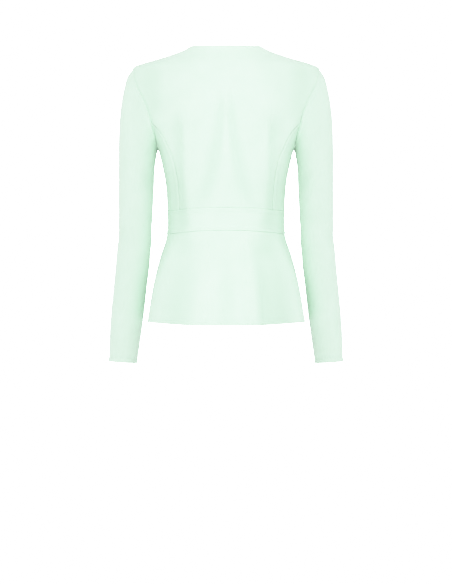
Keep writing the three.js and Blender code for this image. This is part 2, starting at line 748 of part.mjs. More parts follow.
BUTTON_HEIGHTS.forEach((z, k) => {
  const place = { angle: Math.PI, z };
  const outward = faceNormal(place, true);
  const button = addPiece(`button_${k + 1}`, buttonGeometry(), buttonFinish);
  button.position.copy(facePoint(place, true)).addScaledVector(outward, BUTTON.standOff);
  button.quaternion.setFromUnitVectors(new THREE.Vector3(0, 1, 0), outward);
});

export default blazer;
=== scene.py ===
# A collarless peplum blazer for a woman, empty and filled out as it is worn, seen from behind.
# Sizes and places are millimetres until a mesh is made, which is in metres. X points to the wearer's
# left, Y to the back and Z up, and the origin is in the middle of the neck.
# A place on the body is an angle and a height z: the angle is 0 at the back, a quarter turn at the
# wearer's left side and a half turn at the front.

import bpy
import numpy as np
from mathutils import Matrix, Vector


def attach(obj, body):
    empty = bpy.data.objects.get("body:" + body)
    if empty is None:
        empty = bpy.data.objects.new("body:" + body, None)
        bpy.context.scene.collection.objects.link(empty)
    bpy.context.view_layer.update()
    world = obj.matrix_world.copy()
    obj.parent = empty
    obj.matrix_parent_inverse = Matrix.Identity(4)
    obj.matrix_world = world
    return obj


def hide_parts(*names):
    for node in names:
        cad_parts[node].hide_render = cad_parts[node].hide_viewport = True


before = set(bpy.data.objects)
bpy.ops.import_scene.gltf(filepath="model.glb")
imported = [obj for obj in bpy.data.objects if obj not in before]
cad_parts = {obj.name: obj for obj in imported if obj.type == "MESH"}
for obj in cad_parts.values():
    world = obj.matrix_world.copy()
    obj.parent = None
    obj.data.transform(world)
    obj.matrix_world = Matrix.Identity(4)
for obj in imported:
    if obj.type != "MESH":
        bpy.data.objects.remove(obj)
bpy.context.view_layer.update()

MM = 0.001
QUARTER = np.pi / 2


def table(names, *rows):
    """Rows of numbers, as one array for each named column."""
    return dict(zip(names.split(), np.array(rows, float).T))


# Cloth: the thickness of its wall, the radius with which it rolls into a seam, and how far the two
# sides of a seam run into each other there
WALL = 2.0
SEAM_RADIUS = 2.6
SEAM_OVERLAP = 0.4

# Relief beside seams and edges: the dip of a seam line and the share of it above the underarm, the
# step over a turned-in allowance, the turned hems, and the small puckers
SEAM_DIP = {"deep": 1.0, "wide": 1.8}
ARMHOLE_DIP = {"share": 0.25, "from_z": -192, "full_z": -172}
ALLOWANCE = {"wide": 8.4, "rise": 0.75, "soft": 1.2}
HEM = {"wide": 6.0, "rise": 0.5, "dip": 0.6, "soft": 1.1}
CUFF_HEM = 10.0
PUCKER = {"rise": 0.22, "reach": 8.0}

# Grid lines: their distances from each border, the step between the rest, how many run down a
# sleeve, and how many probes measure a patch each way
NEAR = np.array([0, 0.15, 0.45, 0.9, 1.5, 2.3, 3.2, 4.0, 5.0, 6.0, 7.2, 8.5, 10.0, 11.6])
STEP = 2.7
SLEEVE_COLUMNS = 144
PROBES = 61

# How far below its row's ends a point of a patch is looked for, and how often that span is halved
PATCH_SLACK = 12
HALVINGS = 40

# How many points a seam line, an edge and a line down the sleeve have before they are divided
SEAM_POINTS = 240
EDGE_POINTS = 160
SLEEVE_PROBES = 400

# Heights of the seams and edges, by where they are on the figure. The neckline's loose edge changes
# to the sewn shoulder seam over a short distance on each side of their corner.
NECK = {"back": -2.2, "side": 0, "front": 0}
NECK_SOFT = 2
SHOULDER_TIP = -41
UNDERARM = -216
NECK_BREAK = -195
BAND_TOP = {"back": -338.3, "side": -343.5, "front": -344}
BAND_FOOT = {"back": -384.8, "side": -391.3, "front": -392}
HEM_LEVEL = {"back": -580, "side": -572.5, "front": -579}

# Armhole, seen from the side, and where the curved panel seams run into it
ARMHOLE = {"back": 59, "front": 62, "back_draw_in": 0.13, "front_draw_in": 0.25}
PANEL_SEAM_TURN = np.radians(112.2)

# Front edges: each front runs past the middle, and the wearer's right lies on the left
FRONT_EDGE = 12
NECKLINE_BOW = 0.94
LAP = {"rise": WALL + 0.9, "starts_at": -46, "full_at": -16}

# The figure, ring by ring from the neck down: half its width, its depth to the back and to the
# front of the shoulder line, and how square the ring is, 2 being an ellipse
FIGURE = table(
    "z half back front square",
    (6, 60, 46, 27, 2.2),
    (0, 72.5, 49, 30, 2.2),
    (-8, 86, 52, 33, 2.2),
    (-16, 106, 56, 36, 2.2),
    (-24.5, 131, 61, 39.5, 2.2),
    (-33, 161, 66, 43, 2.25),
    (-41, 185.5, 70, 47, 2.25),
    (-52, 199, 74.5, 52.5, 2.15),
    (-69, 212.5, 79.5, 61, 2.1),
    (-88, 212, 84.5, 72, 2.2),
    (-110, 203, 88.5, 84, 2.3),
    (-134, 189.5, 91.5, 97, 2.4),
    (-160, 172.3, 93, 110, 2.5),
    (-190, 153, 93, 124, 2.65),
    (-216, 141, 92.5, 132, 2.8),
    (-250, 132.5, 91, 136.5, 2.8),
    (-275, 127.3, 88, 134.5, 2.7),
    (-300, 124.2, 84, 127, 2.5),
    (-325, 122.8, 80, 116.5, 2.4),
    (-350, 122, 77.5, 109, 2.3),
    (-390, 123, 80, 105, 2.3),
    (-405, 126, 83.5, 106.5, 2.3),
    (-424, 132.5, 89.5, 109.5, 2.3),
    (-450, 140.3, 97, 114, 2.3),
    (-500, 151.8, 110, 121.5, 2.3),
    (-545, 159.3, 118, 127, 2.3),
    (-575, 163.8, 123, 130, 2.3),
    (-590, 165.8, 125, 132, 2.3),
)

# Curved panel seams below the armhole: how far from the middle they run
BACK_PANEL_SEAM = (
    (-343, 101),
    (-319, 102),
    (-281, 104.5),
    (-249, 109.5),
    (-224, 116),
    (-199, 126.3),
    (-177.4, 139.5),
)
FRONT_PANEL_SEAM = (
    (-343, 76),
    (-319, 78),
    (-281, 84),
    (-249, 93),
    (-224, 105),
    (-199, 122),
    (-177.4, 142),
)

# Soft upright folds of the back: the heights of each, its distance from the middle at its top and
# foot, its width there, and how far it rises. Negative rises are hollows. Each line bends away
# from the upright towards its foot.
BACK_FOLDS = table(
    "top foot x_top x_foot wide_top wide_foot rise",
    (-66, -300, 0, 0, 6, 14, 2.2),
    (-70, -376, 7, 62, 7, 24, -5),
    (-74, -372, -7, -59, 7, 22, -4.8),
    (-96, -420, 101, 97, 13, 17, -6.5),
    (-98, -416, -101, -98, 13, 17, -6.2),
    (-90, -330, 76, 74, 20, 20, 2.5),
    (-94, -334, -76, -74, 20, 20, 2.4),
    (-20, -180, 84, 80, 32, 32, 5),
    (-20, -184, -83, -80, 32, 32, 4.8),
    (-24, -168, 158, 146, 26, 22, -4),
    (-24, -172, -158, -145, 26, 22, -3.8),
    (-340, -452, -88, -86, 20, 20, -4),
    (-340, -448, 90, 88, 20, 20, -2.6),
)

# The share of a fold's length over which each end dies away, and how far round from the wearer's
# sides, as the cosine of the angle, the folds have reached their full rise
FOLD_FADE = 0.28
FOLD_EDGE = 0.32

# Flutes of the peplum: the angle of each round the figure, how far it has risen at the hem, and
# its width, both angles in degrees
FLUTES = table(
    "angle rise wide",
    (0, -3, 9),
    (19, 3, 8),
    (-20, 4, 7),
    (46, -6, 15),
    (-39, -10, 8),
    (-54, -8, 10),
    (74, 3.5, 12),
    (-76, 4, 10),
    (96, -4, 12),
    (-99, -3.5, 12),
    (125, 3.5, 11),
    (-128, 3, 11),
    (149, -4, 9),
    (-152, -3.5, 9),
)

# How the flutes grow down to the hem: 1 is evenly, and less is faster at first
FLUTE_GROWTH = 0.6

# Fine creases of the body, from one end of each to the other: angles in degrees round the figure,
# heights, the rise of its middle and its half width
BODY_CREASES = table(
    "angle z to_angle to_z rise wide",
    (58, -182, 46, -228, -0.7, 5),
    (-57, -180, -44, -231, -0.8, 5),
    (66, -196, 55, -246, 0.6, 6),
    (-65, -199, -53, -243, 0.5, 6),
    (24, -396, 26, -425, -0.7, 4),
    (-23, -396, -27, -430, -0.8, 4),
    (34, -398, 37, -440, -0.6, 5),
    (-31, -397, -35, -437, -0.7, 5),
    (18, -335, 22, -312, -0.4, 4),
    (-25, -336, -28, -306, -0.5, 4),
    (84, -236, 96, -262, -0.7, 7),
    (-86, -240, -99, -270, -0.7, 7),
    (92, -318, 102, -340, -0.6, 5),
    (-90, -320, -104, -338, -0.6, 5),
    (118, -226, 137, -262, -0.9, 8),
    (-119, -228, -135, -258, -0.8, 8),
    (150, -312, 158, -340, -0.8, 6),
    (-148, -308, -157, -341, -0.8, 6),
    (166, -262, 178, -278, -0.7, 5),
    (-163, -266, -177, -280, -0.7, 5),
    (150, -396, 152, -440, -0.7, 5),
    (-147, -397, -151, -436, -0.7, 5),
    (112, -397, 110, -432, -0.6, 5),
    (-109, -396, -108, -436, -0.6, 5),
)
BODY_CREASE_RADIUS = 108

# Sleeve rings from the shoulder to the cuff: the outermost point z and out, the innermost point
# in_z and inside, the middle from front to back, and half the depth from front to back
SLEEVE = table(
    "z out in_z inside middle deep",
    (-41, 185.5, -216, 141, -1, 57),
    (-57, 198.5, -217.6, 142, 0, 58),
    (-84, 208, -220.5, 142.8, 2, 58),
    (-115, 215, -225.5, 143.8, 4, 58),
    (-148, 220, -234, 145, 6, 57),
    (-185, 222.6, -247, 147, 7, 56),
    (-222, 223.4, -265, 148.3, 8, 55),
    (-262, 223.4, -291, 149.1, 9, 53),
    (-305, 223.3, -323, 150.7, 10, 51),
    (-350, 223.3, -360, 152.6, 9, 49),
    (-400, 225.2, -405, 154.6, 4, 46.5),
    (-450, 229.6, -453, 158.6, -4, 44),
    (-500, 234.7, -502, 165, -14, 42),
    (-550, 240.2, -552, 170.8, -25, 40.5),
    (-600, 244.2, -603, 178, -36, 39),
    (-657, 246.6, -661, 186.6, -47, 38),
)
CUFF = -657
CAP_FOOT = -222

# Soft creases of the sleeves: the height of each, its angle round the sleeve in degrees, from 0 at
# the outside to 90 at the back, how far it rises, and its size along and round the sleeve
SLEEVE_FOLDS = table(
    "z turn rise long wide",
    (-330, 55, 2.5, 34, 34),
    (-392, 30, -2.2, 20, 40),
    (-428, 62, 1.2, 24, 36),
    (-372, -130, -3, 12, 40),
    (-402, -118, 2.2, 11, 38),
    (-430, -135, -2.4, 11, 36),
    (-255, 130, -2, 26, 30),
)

# Fine creases of the sleeves, from one end of each to the other
SLEEVE_CREASES = table(
    "angle z to_angle to_z rise wide",
    (70, -236, 120, -282, -0.7, 6),
    (98, -268, 142, -320, -0.6, 7),
    (30, -372, 84, -398, -0.7, 6),
    (12, -404, 58, -424, -0.6, 5),
    (100, -352, 140, -372, -0.6, 6),
    (-95, -352, -150, -366, -1.0, 6),
    (-100, -384, -158, -392, -0.9, 5),
    (-92, -414, -148, -424, -0.8, 6),
    (40, -540, 88, -562, -0.4, 7),
    (-60, -560, -110, -585, -0.5, 7),
    (-40, -225, -96, -262, -0.8, 7),
    (-66, -262, -128, -304, -0.7, 7),
)
SLEEVE_CREASE_RADIUS = 44

# How near the underarm, in radians of turn, the sleeve folds down beside the body, how far down the
# sleeve its relief has turned from the body's outward direction to its own, and the low roll of the
# sleeve's head beside the armhole seam: its rise, how far from the seam it is, and its half width.
# The seed is that of the puckers along the seam.
UNDERARM_FOLD = {"full_at": 0.35, "starts_at": 1.05}
OWN_DIRECTION = 6
SLEEVE_SEED = 2.0
SLEEVE_HEAD = {"rise": 1.8, "at": 3.6, "wide": 2.8}

# Buttons, from the top: a disc with a softened edge, a rim and a sunk middle, four pits and the thread
# through them. The buttonholes under them run across the edge: their ends, half their width, and the
# pitch of the stitches, which reach from inside the line to outside it. The sides of the sunk middle
# and of the pits slope from a little outside their radius to a little inside it.
BUTTON = {"radius": 9, "thick": 3.6, "edge": 1.2, "rim": 1.8, "sink": 0.8, "stand_off": 0.35}
BUTTON_SLOPE = {"outside": 0.5, "inside": 1.2}
BUTTON_HEIGHTS = (-214, -280, -367)
BUTTON_HOLES = {"apart": 1.65, "radius": 0.85, "deep": 1.6}
PIT_SLOPE = {"outside": 0.12, "inside": 0.18}
BUTTON_THREAD = {"thick": 0.5, "sink": 0.25, "lift": 0.1, "beside": 0.2}
BUTTONHOLE = {"from_x": 3.0, "to_x": -18.5, "half": 1.35, "pitch": 0.42, "in": 0.95, "out": 0.55}
BUTTONHOLE_THREAD = {"thick": 0.46, "sink": 0.1, "lift": 0.12}
BUTTON_POLE = 0.12

# Sewing thread: each stitch, how much of its thickness it stands proud, how far its ends sink into
# the cloth, and at which grid line from an edge a row of them starts
STITCH = {"long": 2.5, "pitch": 3.1, "thick": 0.42, "proud": 0.3, "sink": 0.12, "start": 8}
BAND_STITCH_ROW = 4.0


# Small helpers

def mix(a, b, share):
    """A value the share of the way from a to b."""
    return a + (b - a) * share


def ease(start, end, value):
    """A smooth step: 3s² − 2s³ of the share s of the way from start to end."""
    share = np.clip((value - start) / (end - start), 0, 1)
    return share * share * (3 - 2 * share)


def bell(distance):
    """A smooth hump: e to the power of minus the distance squared."""
    return np.exp(-distance * distance)


def read(rows, column, at, key="z"):
    """The value of one column at each height, on a cubic through each two rows. The slope at a row is
    that of a parabola through it and its neighbours, and at the ends that of the first and last span."""
    where, value = rows[key], rows[column]
    run = np.diff(where)
    slope = np.diff(value) / run
    inner = (slope[:-1] * run[1:] + slope[1:] * run[:-1]) / (run[:-1] + run[1:])
    tangent = np.concatenate([slope[:1], inner, slope[-1:]])
    direction = 1 if where[0] < where[-1] else -1
    k = np.searchsorted(direction * where, direction * np.asarray(at), side="left") - 1
    k = np.clip(k, 0, len(where) - 2)
    s = (at - where[k]) / run[k]
    smooth = mix(value[k], value[k + 1], s * s * (3 - 2 * s))
    bend = run[k] * (s**3 - 2 * s**2 + s) * tangent[k]
    finish = run[k] * (s**3 - s**2) * tangent[k + 1]
    return smooth + bend + finish


def unit(vectors):
    """Each vector divided by its length."""
    return vectors / np.maximum(np.linalg.norm(vectors, axis=-1, keepdims=True), 1e-12)


def running_length(points, axis):
    """The length walked to each point along one axis of a grid: the sum of the steps before it."""
    steps = np.linalg.norm(np.diff(points, axis=axis), axis=-1)
    start = np.zeros_like(np.take(steps, [0], axis=axis))
    return np.concatenate([start, np.cumsum(steps, axis=axis)], axis=axis)


def crease_rise(across, z, rows, radius):
    """The rise of all creases of a table: each is a straight trough or ridge on the cloth laid flat.
    It is a bell across its line, and a half sine wave along it."""
    rise = np.zeros_like(z)
    for angle, start_z, to_angle, to_z, high, wide in zip(*rows.values()):
        start = np.radians(angle) * radius
        run = np.radians(to_angle) * radius - start
        fall = to_z - start_z
        along = ((across - start) * run + (z - start_z) * fall) / (run * run + fall * fall)
        along = np.clip(along, 0, 1)
        away = np.hypot(across - start - along * run, z - start_z - along * fall)
        rise += high * np.sin(np.pi * along) * bell(away / wide)
    return rise


def degrees_from(angle, middle):
    """How far an angle lies from a middle given in degrees, from −180 to 180."""
    return (np.degrees(angle) - middle + 540) % 360 - 180


def signed_angle(angle):
    """The same angle between minus and plus half a turn."""
    return (angle + np.pi) % (2 * np.pi) - np.pi


def uneven(along, seed):
    """A wavering number from −1 to 1: three sine waves whose lengths have no common measure."""
    first = np.sin(along / 4.7 + 1.7 * seed)
    second = np.sin(along / 7.9 + 2.9 * seed + 1.1)
    third = np.sin(along / 19.3 + 0.7 * seed + 2.3)
    return (first + second + 1.4 * third) / 3.4


# The figure

def reach(angle, z):
    """How far the figure reaches from its axis: the radius of a superellipse, (|sin/half|ⁿ +
    |cos/depth|ⁿ) to the power −1/n, whose half width, depth and squareness n come from the figure."""
    square = read(FIGURE, "square", z)
    depth = np.where(np.cos(angle) >= 0, read(FIGURE, "back", z), read(FIGURE, "front", z))
    across = (np.abs(np.sin(angle)) / read(FIGURE, "half", z)) ** square
    along = (np.abs(np.cos(angle)) / depth) ** square
    return (across + along) ** (-1 / square)


def whole_angle(x, y):
    """The angle of a point from −a quarter turn on the wearer's right to three quarters of a turn."""
    angle = np.arctan2(x, y)
    return np.where(angle < -QUARTER, angle + 2 * np.pi, angle)


def superellipse_share(share, square):
    """The other coordinate's share of its half axis: (1 − |share|ⁿ) to the power 1/n."""
    return np.maximum(0, 1 - np.abs(share) ** square) ** (1 / square)


def angle_at_x(x, z, side):
    """The angle of the place on the back or front of the figure at a distance x from the middle."""
    share = superellipse_share(x / read(FIGURE, "half", z), read(FIGURE, "square", z))
    y = read(FIGURE, side, z) * share
    return whole_angle(x, y if side == "back" else -y)


def angle_at_y(y, z):
    """The angle of the place on the wearer's left of the figure at a depth y."""
    depth = np.where(y >= 0, read(FIGURE, "back", z), read(FIGURE, "front", z))
    share = superellipse_share(y / depth, read(FIGURE, "square", z))
    return whole_angle(read(FIGURE, "half", z) * share, y)


def back_folds(angle, x, z):
    """The rise of the back's folds: each is a bell across its line, which widens towards its foot and
    is faded in and out along it, and faded out towards the wearer's sides with the cosine of the
    angle."""
    rise = np.zeros_like(z)
    for top, foot, x_top, x_foot, wide_top, wide_foot, high in zip(*BACK_FOLDS.values()):
        along = np.clip((z - top) / (foot - top), 0, 1)
        strength = ease(0, FOLD_FADE, along) * ease(1, 1 - FOLD_FADE, along)
        away = (x - mix(x_top, x_foot, along**2)) / mix(wide_top, wide_foot, along)
        rise += high * strength * bell(away)
    return rise * ease(0, FOLD_EDGE, np.cos(angle))


def flutes(angle, z):
    """The rise of the peplum's flutes: each is a bell round the figure, and all grow with a power of
    the distance below the waistband."""
    fall = np.maximum(0, (BAND_FOOT["side"] - z) / (BAND_FOOT["side"] - HEM_LEVEL["side"]))
    rise = np.zeros_like(z)
    for middle, high, wide in zip(*FLUTES.values()):
        rise += high * bell(degrees_from(angle, middle) / wide)
    return rise * fall**FLUTE_GROWTH


def body_point(angle, z, lapped=False):
    """A point of the garment's outer face: the figure's reach, plus its flutes, folds and creases,
    and plus the lap where one front lies on the other."""
    base = reach(angle, z)
    x = base * np.sin(angle)
    out = base + flutes(angle, z) + back_folds(angle, x, z)
    around = signed_angle(angle) * BODY_CREASE_RADIUS
    out = out + crease_rise(around, z, BODY_CREASES, BODY_CREASE_RADIUS)
    if lapped:
        at_front = np.cos(angle) <= 0
        out = out + at_front * LAP["rise"] * ease(LAP["starts_at"], LAP["full_at"], x)
    return np.stack([out * np.sin(angle), out * np.cos(angle), z], axis=-1)


def body_painted_shade_depth(angle, z):
    """How deep the body's folds and flutes lie below the figure: the depth by which the cloth's colour is
    darkened as painted shade.
    """
    return np.maximum(0, -flutes(angle, z) - back_folds(angle, reach(angle, z) * np.sin(angle), z))


def body_normal(angle, z, lapped=False):
    """The outward direction of the outer face: the cross product of two short steps along it."""
    turn, lift = 0.004, 0.4
    across = body_point(angle + turn, z, lapped) - body_point(angle - turn, z, lapped)
    up = body_point(angle, z + lift, lapped) - body_point(angle, z - lift, lapped)
    return unit(np.cross(up, across))


# Seam lines, on the wearer's left half

def armhole(turn):
    """The armhole, by its turn from the shoulder tip down the back to the underarm at a half turn:
    an oval seen from the side, drawn in towards the shoulder, laid on the figure."""
    middle = (SHOULDER_TIP + UNDERARM) / 2
    z = middle + (SHOULDER_TIP - UNDERARM) / 2 * np.cos(turn)
    high = (1 + np.cos(turn)) / 2
    back = ARMHOLE["back"] * (1 - ARMHOLE["back_draw_in"] * high)
    front = ARMHOLE["front"] * (1 - ARMHOLE["front_draw_in"] * high * high)
    y = np.sin(turn) * np.where(np.sin(turn) >= 0, back, front)
    return angle_at_y(y, z), z


def level_at(level, angle):
    """A height that changes from its side value to its back or front value with 1 − sin⁴."""
    share = 1 - np.sin(angle) ** 4
    return mix(level["side"], np.where(np.cos(angle) >= 0, level["back"], level["front"]), share)


def seam_line(angle, z):
    """A seam as arrays: its places, the same on the cloth laid flat, and the share of its length."""
    length = running_length(body_point(angle, z), 0)
    base = reach(angle, z)
    return {
        "angle": angle,
        "z": z,
        "x": base * np.sin(angle),
        "fall": np.abs(base * np.cos(angle)) - z,
        "share": length / length[-1],
    }


def joined(*parts):
    """One line from several, given as pairs of angles and heights whose ends meet."""
    angle = np.concatenate([parts[0][0]] + [part[0][1:] for part in parts[1:]])
    z = np.concatenate([parts[0][1]] + [part[1][1:] for part in parts[1:]])
    return seam_line(angle, z)


def mirrored(line):
    """The same seam on the wearer's right: its angles with the other sign."""
    return seam_line(-line["angle"], line["z"])


def panel_seam(points, side, turn):
    """The places of a curved panel seam, from the waist up to where it meets the armhole."""
    top_angle, top_z = armhole(np.array([turn]))
    top_x = body_point(top_angle, top_z)[0, 0]
    rows = table("z x", *points, (top_z[0], top_x))
    foot_angle = angle_at_x(np.array([points[0][1]]), np.array([points[0][0]]), side)
    foot_z = level_at(BAND_TOP, foot_angle)[0]
    z = np.linspace(foot_z, top_z[0], SEAM_POINTS)
    angle = angle_at_x(read(rows, "x", z), z, side)
    angle[-1] = top_angle[0]
    return angle, z


back_panel_seam = panel_seam(BACK_PANEL_SEAM, "back", PANEL_SEAM_TURN)
front_panel_seam = panel_seam(FRONT_PANEL_SEAM, "front", 2 * np.pi - PANEL_SEAM_TURN)
back_side = joined(back_panel_seam, armhole(np.linspace(PANEL_SEAM_TURN, 0, SEAM_POINTS)))
front_turns = np.linspace(2 * np.pi - PANEL_SEAM_TURN, 2 * np.pi, SEAM_POINTS)
front_side = joined(front_panel_seam, armhole(front_turns))


def shoulder_seam(sign=1):
    """The places up a shoulder seam, which lies a quarter turn from the back."""
    z = np.linspace(SHOULDER_TIP, NECK["side"], EDGE_POINTS)
    return np.full_like(z, sign * QUARTER), z


def back_neckline():
    """The places along the back of the neck, level but for a small fall to the middle."""
    angle = np.linspace(-QUARTER, QUARTER, SEAM_POINTS)
    return angle, level_at(NECK, angle)


def waist_seam(start, end):
    """The top seam of the waistband between the feet of two seams."""
    angle = np.linspace(start["angle"][0], end["angle"][0], SEAM_POINTS)
    return seam_line(angle, level_at(BAND_TOP, angle))


def front_edge():
    """The edge of the left front: upright to the break, then along the neckline, whose distance from
    the middle goes from the edge to the neck with a power of the share of the height left."""
    low = np.linspace(BAND_TOP["front"], NECK_BREAK, EDGE_POINTS)
    edge = angle_at_x(np.full_like(low, -FRONT_EDGE), low, "front"), low
    high = np.linspace(NECK_BREAK, NECK["side"], SEAM_POINTS)
    down = (NECK["side"] - high) / (NECK["side"] - NECK_BREAK)
    neck_half = read(FIGURE, "half", NECK["side"])
    neckline = angle_at_x(mix(neck_half, -FRONT_EDGE, down**NECKLINE_BOW), high, "front")
    neckline[-1] = QUARTER
    return joined(edge, (neckline, high))


# Patches. A patch gives the angle and height of the place at a share t up it and u across it.

def at_share(line, key, share):
    """A line's value at a share of its length."""
    return np.interp(share, line["share"], line[key])


def blended(lines, key, t, u):
    """A Coons patch: the blend across, plus the blend upward, less the blend of the four corners."""
    bottom, top, left, right = lines
    across = mix(at_share(bottom, key, u), at_share(top, key, u), t)
    upward = mix(at_share(left, key, t), at_share(right, key, t), u)
    low = mix(bottom[key][0], bottom[key][-1], u)
    high = mix(top[key][0], top[key][-1], u)
    return across + upward - mix(low, high, t)


def place_from_flat(x, fall, side, lowest):
    """The place with an x and a fall on the flat cloth: the height at which the figure's depth less
    the height is the fall, found by halving a span of heights."""
    high = np.full_like(x, FIGURE["z"][0])
    low = lowest.copy()
    for _ in range(HALVINGS):
        z = (high + low) / 2
        share = superellipse_share(x / read(FIGURE, "half", z), read(FIGURE, "square", z))
        above = read(FIGURE, side, z) * share - z < fall
        high = np.where(above, z, high)
        low = np.where(above, low, z)
    z = (high + low) / 2
    return angle_at_x(x, z, side), z


def flat_patch(bottom, top, left, right, side):
    """A patch of the back or of a front, laid out on the flat cloth. Its borders are the seams."""
    lines = (bottom, top, left, right)

    def place(t, u):
        lowest = np.minimum(at_share(left, "z", t), at_share(right, "z", t)) - PATCH_SLACK
        x, fall = (blended(lines, key, t, u) for key in ("x", "fall"))
        angle, z = place_from_flat(x, fall, side, lowest)
        borders = (bottom, u, t == 0), (top, u, t == 1), (left, t, u == 0), (right, t, u == 1)
        for line, share, on_it in borders:
            angle = np.where(on_it, at_share(line, "angle", share), angle)
            z = np.where(on_it, at_share(line, "z", share), z)
        return angle, z

    return place


def side_patch(bottom, top, left, right):
    """A patch that wraps round the wearer's side: its angles and heights are both blended."""
    lines = (bottom, top, left, right)
    return lambda t, u: (blended(lines, "angle", t, u), blended(lines, "z", t, u))


def strip(low, high, from_angle, to_angle):
    """A band between two level lines and two upright ones, given as functions of the height."""

    def place(t, u):
        rough = mix(low["side"], high["side"], t)
        angle = mix(from_angle(rough), to_angle(rough), u)
        return angle, mix(level_at(low, angle), level_at(high, angle), t)

    return place


def other_side(place):
    """The same patch on the wearer's right, its columns turned round so that they run the same way."""

    def turned(t, u):
        angle, z = place(t, 1 - u)
        return -angle, z

    return turned


# Grids

def spaced_shares(points, shares):
    """The shares of each line at which the grid's nodes lie: at the near distances from both of its
    ends, and evenly between them. A line is a row of points."""
    length = running_length(points, 1)
    total = length[:, -1:]
    many = int(round((total.mean() - 2 * NEAR[-1]) / STEP))
    steps = np.arange(1, many) / many
    between = mix(NEAR[-1], total - NEAR[-1], steps)
    start = np.broadcast_to(NEAR, (len(points), len(NEAR)))
    wanted = np.concatenate([start, between, total - NEAR[::-1]], axis=1)
    return np.array([np.interp(line, walked, shares) for line, walked in zip(wanted, length)])


def patch_grid(place):
    """The shares t and u of a patch's nodes, as two grids."""
    probe = np.linspace(0, 1, PROBES)
    t, u = np.meshgrid(probe, probe, indexing="ij")
    points = body_point(*place(t, u))
    columns = spaced_shares(points, probe).T
    rows = spaced_shares(points.transpose(1, 0, 2), probe).T
    t_grid = np.array([np.interp(columns.mean(axis=1), probe, row) for row in rows])
    u_grid = np.array([np.interp(rows.mean(axis=1), probe, column) for column in columns]).T
    for grid in (t_grid, u_grid.T):
        grid[0] = 0
        grid[-1] = 1
    return t_grid, u_grid


def border_distances(points):
    """How far each node lies from the bottom, top, left and right borders, along the grid."""
    up = running_length(points, 0)
    across = running_length(points, 1)
    return up, up[-1:] - up, across, across[:, -1:] - across


def half_thickness(distances, free):
    """Half the cloth's thickness: a quarter of an ellipse from nothing at each border to the full
    half wall, over half a wall at a free edge and over the seam's radius at a seam."""
    half = WALL / 2
    for distance, loose in zip(distances, free):
        share = np.clip(distance / mix(SEAM_RADIUS, WALL / 2, loose), 0, 1)
        half = half * np.sqrt(1 - (1 - share) ** 2)
    return half


def dip_share(z):
    """How deep a seam dips beside its full depth: the armhole's seam is shallow above the underarm."""
    high = ease(ARMHOLE_DIP["from_z"], ARMHOLE_DIP["full_z"], z)
    return mix(1, ARMHOLE_DIP["share"], high)


def seam_relief(distance, along, loose, allowance, seed, deep=1):
    """The rise of the cloth beside one border. At a seam it is a dip at the line, a flat step over
    the turned-in allowance and small puckers, and at a loose edge there is none."""
    dip = -SEAM_DIP["deep"] * deep * bell(distance / SEAM_DIP["wide"])
    soft = ALLOWANCE["soft"]
    step = ease(ALLOWANCE["wide"] + soft, ALLOWANCE["wide"] - soft, distance)
    pucker = PUCKER["rise"] * uneven(along, seed) * bell(distance / PUCKER["reach"])
    return (1 - loose) * (dip + allowance * ALLOWANCE["rise"] * step + pucker)


def hem_relief(distance, wide):
    """The rise of a turned hem: a step over its width, and a narrow dip along its stitches."""
    step = HEM["rise"] * ease(wide + HEM["soft"], wide - HEM["soft"], distance)
    return step - HEM["dip"] * bell((distance - wide) / HEM["soft"])


def grid_quads(ids, round_about):
    """The quads between each two rows and columns of a grid of node numbers."""
    wide = np.concatenate([ids, ids[:, :1]], axis=1) if round_about else ids
    corners = wide[:-1, :-1], wide[1:, :-1], wide[1:, 1:], wide[:-1, 1:]
    return np.stack(corners, axis=-1).reshape(-1, 4)


def shell_faces(rows, columns, round_about):
    """The quads of a closed shell: those of the outer grid, and those of the inner grid turned round.
    Both grids share their border nodes. Also the number of each node of the inner grid."""
    outer = np.arange(rows * columns).reshape(rows, columns)
    on_border = np.zeros((rows, columns), bool)
    on_border[[0, -1]] = True
    if not round_about:
        on_border[:, [0, -1]] = True
    inner = outer.copy()
    inner[~on_border] = rows * columns + np.arange((~on_border).sum())
    faces = grid_quads(outer, round_about), grid_quads(inner, round_about)[:, ::-1]
    return np.concatenate(faces), ~on_border


def corner_uv(uv):
    """The cloth's own coordinates at the four corners of each quad, for both faces of a shell."""
    corners = uv[:-1, :-1], uv[1:, :-1], uv[1:, 1:], uv[:-1, 1:]
    flat = np.stack(corners, axis=-2).reshape(-1, 4, 2)
    return np.concatenate([flat, flat[:, ::-1]])


# Meshes

def make_object(name, points, faces, material, uv=None, painted_fold_shade=None):
    """A smooth mesh object at the origin, from points in millimetres and an array of faces. A cloth
    piece also has its own flat coordinates and, at each point, the depth of its folds, which its material
    paints as shade."""
    mesh = bpy.data.meshes.new(name)
    mesh.vertices.add(len(points))
    mesh.vertices.foreach_set("co", (points * MM).astype(np.float32).ravel())
    mesh.loops.add(faces.size)
    mesh.loops.foreach_set("vertex_index", faces.astype(np.int32).ravel())
    mesh.polygons.add(len(faces))
    starts = np.arange(len(faces), dtype=np.int32) * faces.shape[1]
    mesh.polygons.foreach_set("loop_start", starts)
    mesh.polygons.foreach_set("use_smooth", np.ones(len(faces), bool))
    if uv is not None:
        layer = mesh.uv_layers.new(name="cloth")
        layer.uv.foreach_set("vector", (uv * MM).astype(np.float32).ravel())
    if painted_fold_shade is not None:
        depth = mesh.attributes.new("painted_fold_shade", "FLOAT", "POINT")
        depth.data.foreach_set("value", painted_fold_shade.astype(np.float32))
    mesh.update(calc_edges=True)
    mesh.validate()
    mesh.materials.append(material)
    made = bpy.data.objects.new(name, mesh)
    bpy.context.scene.collection.objects.link(made)
    return made


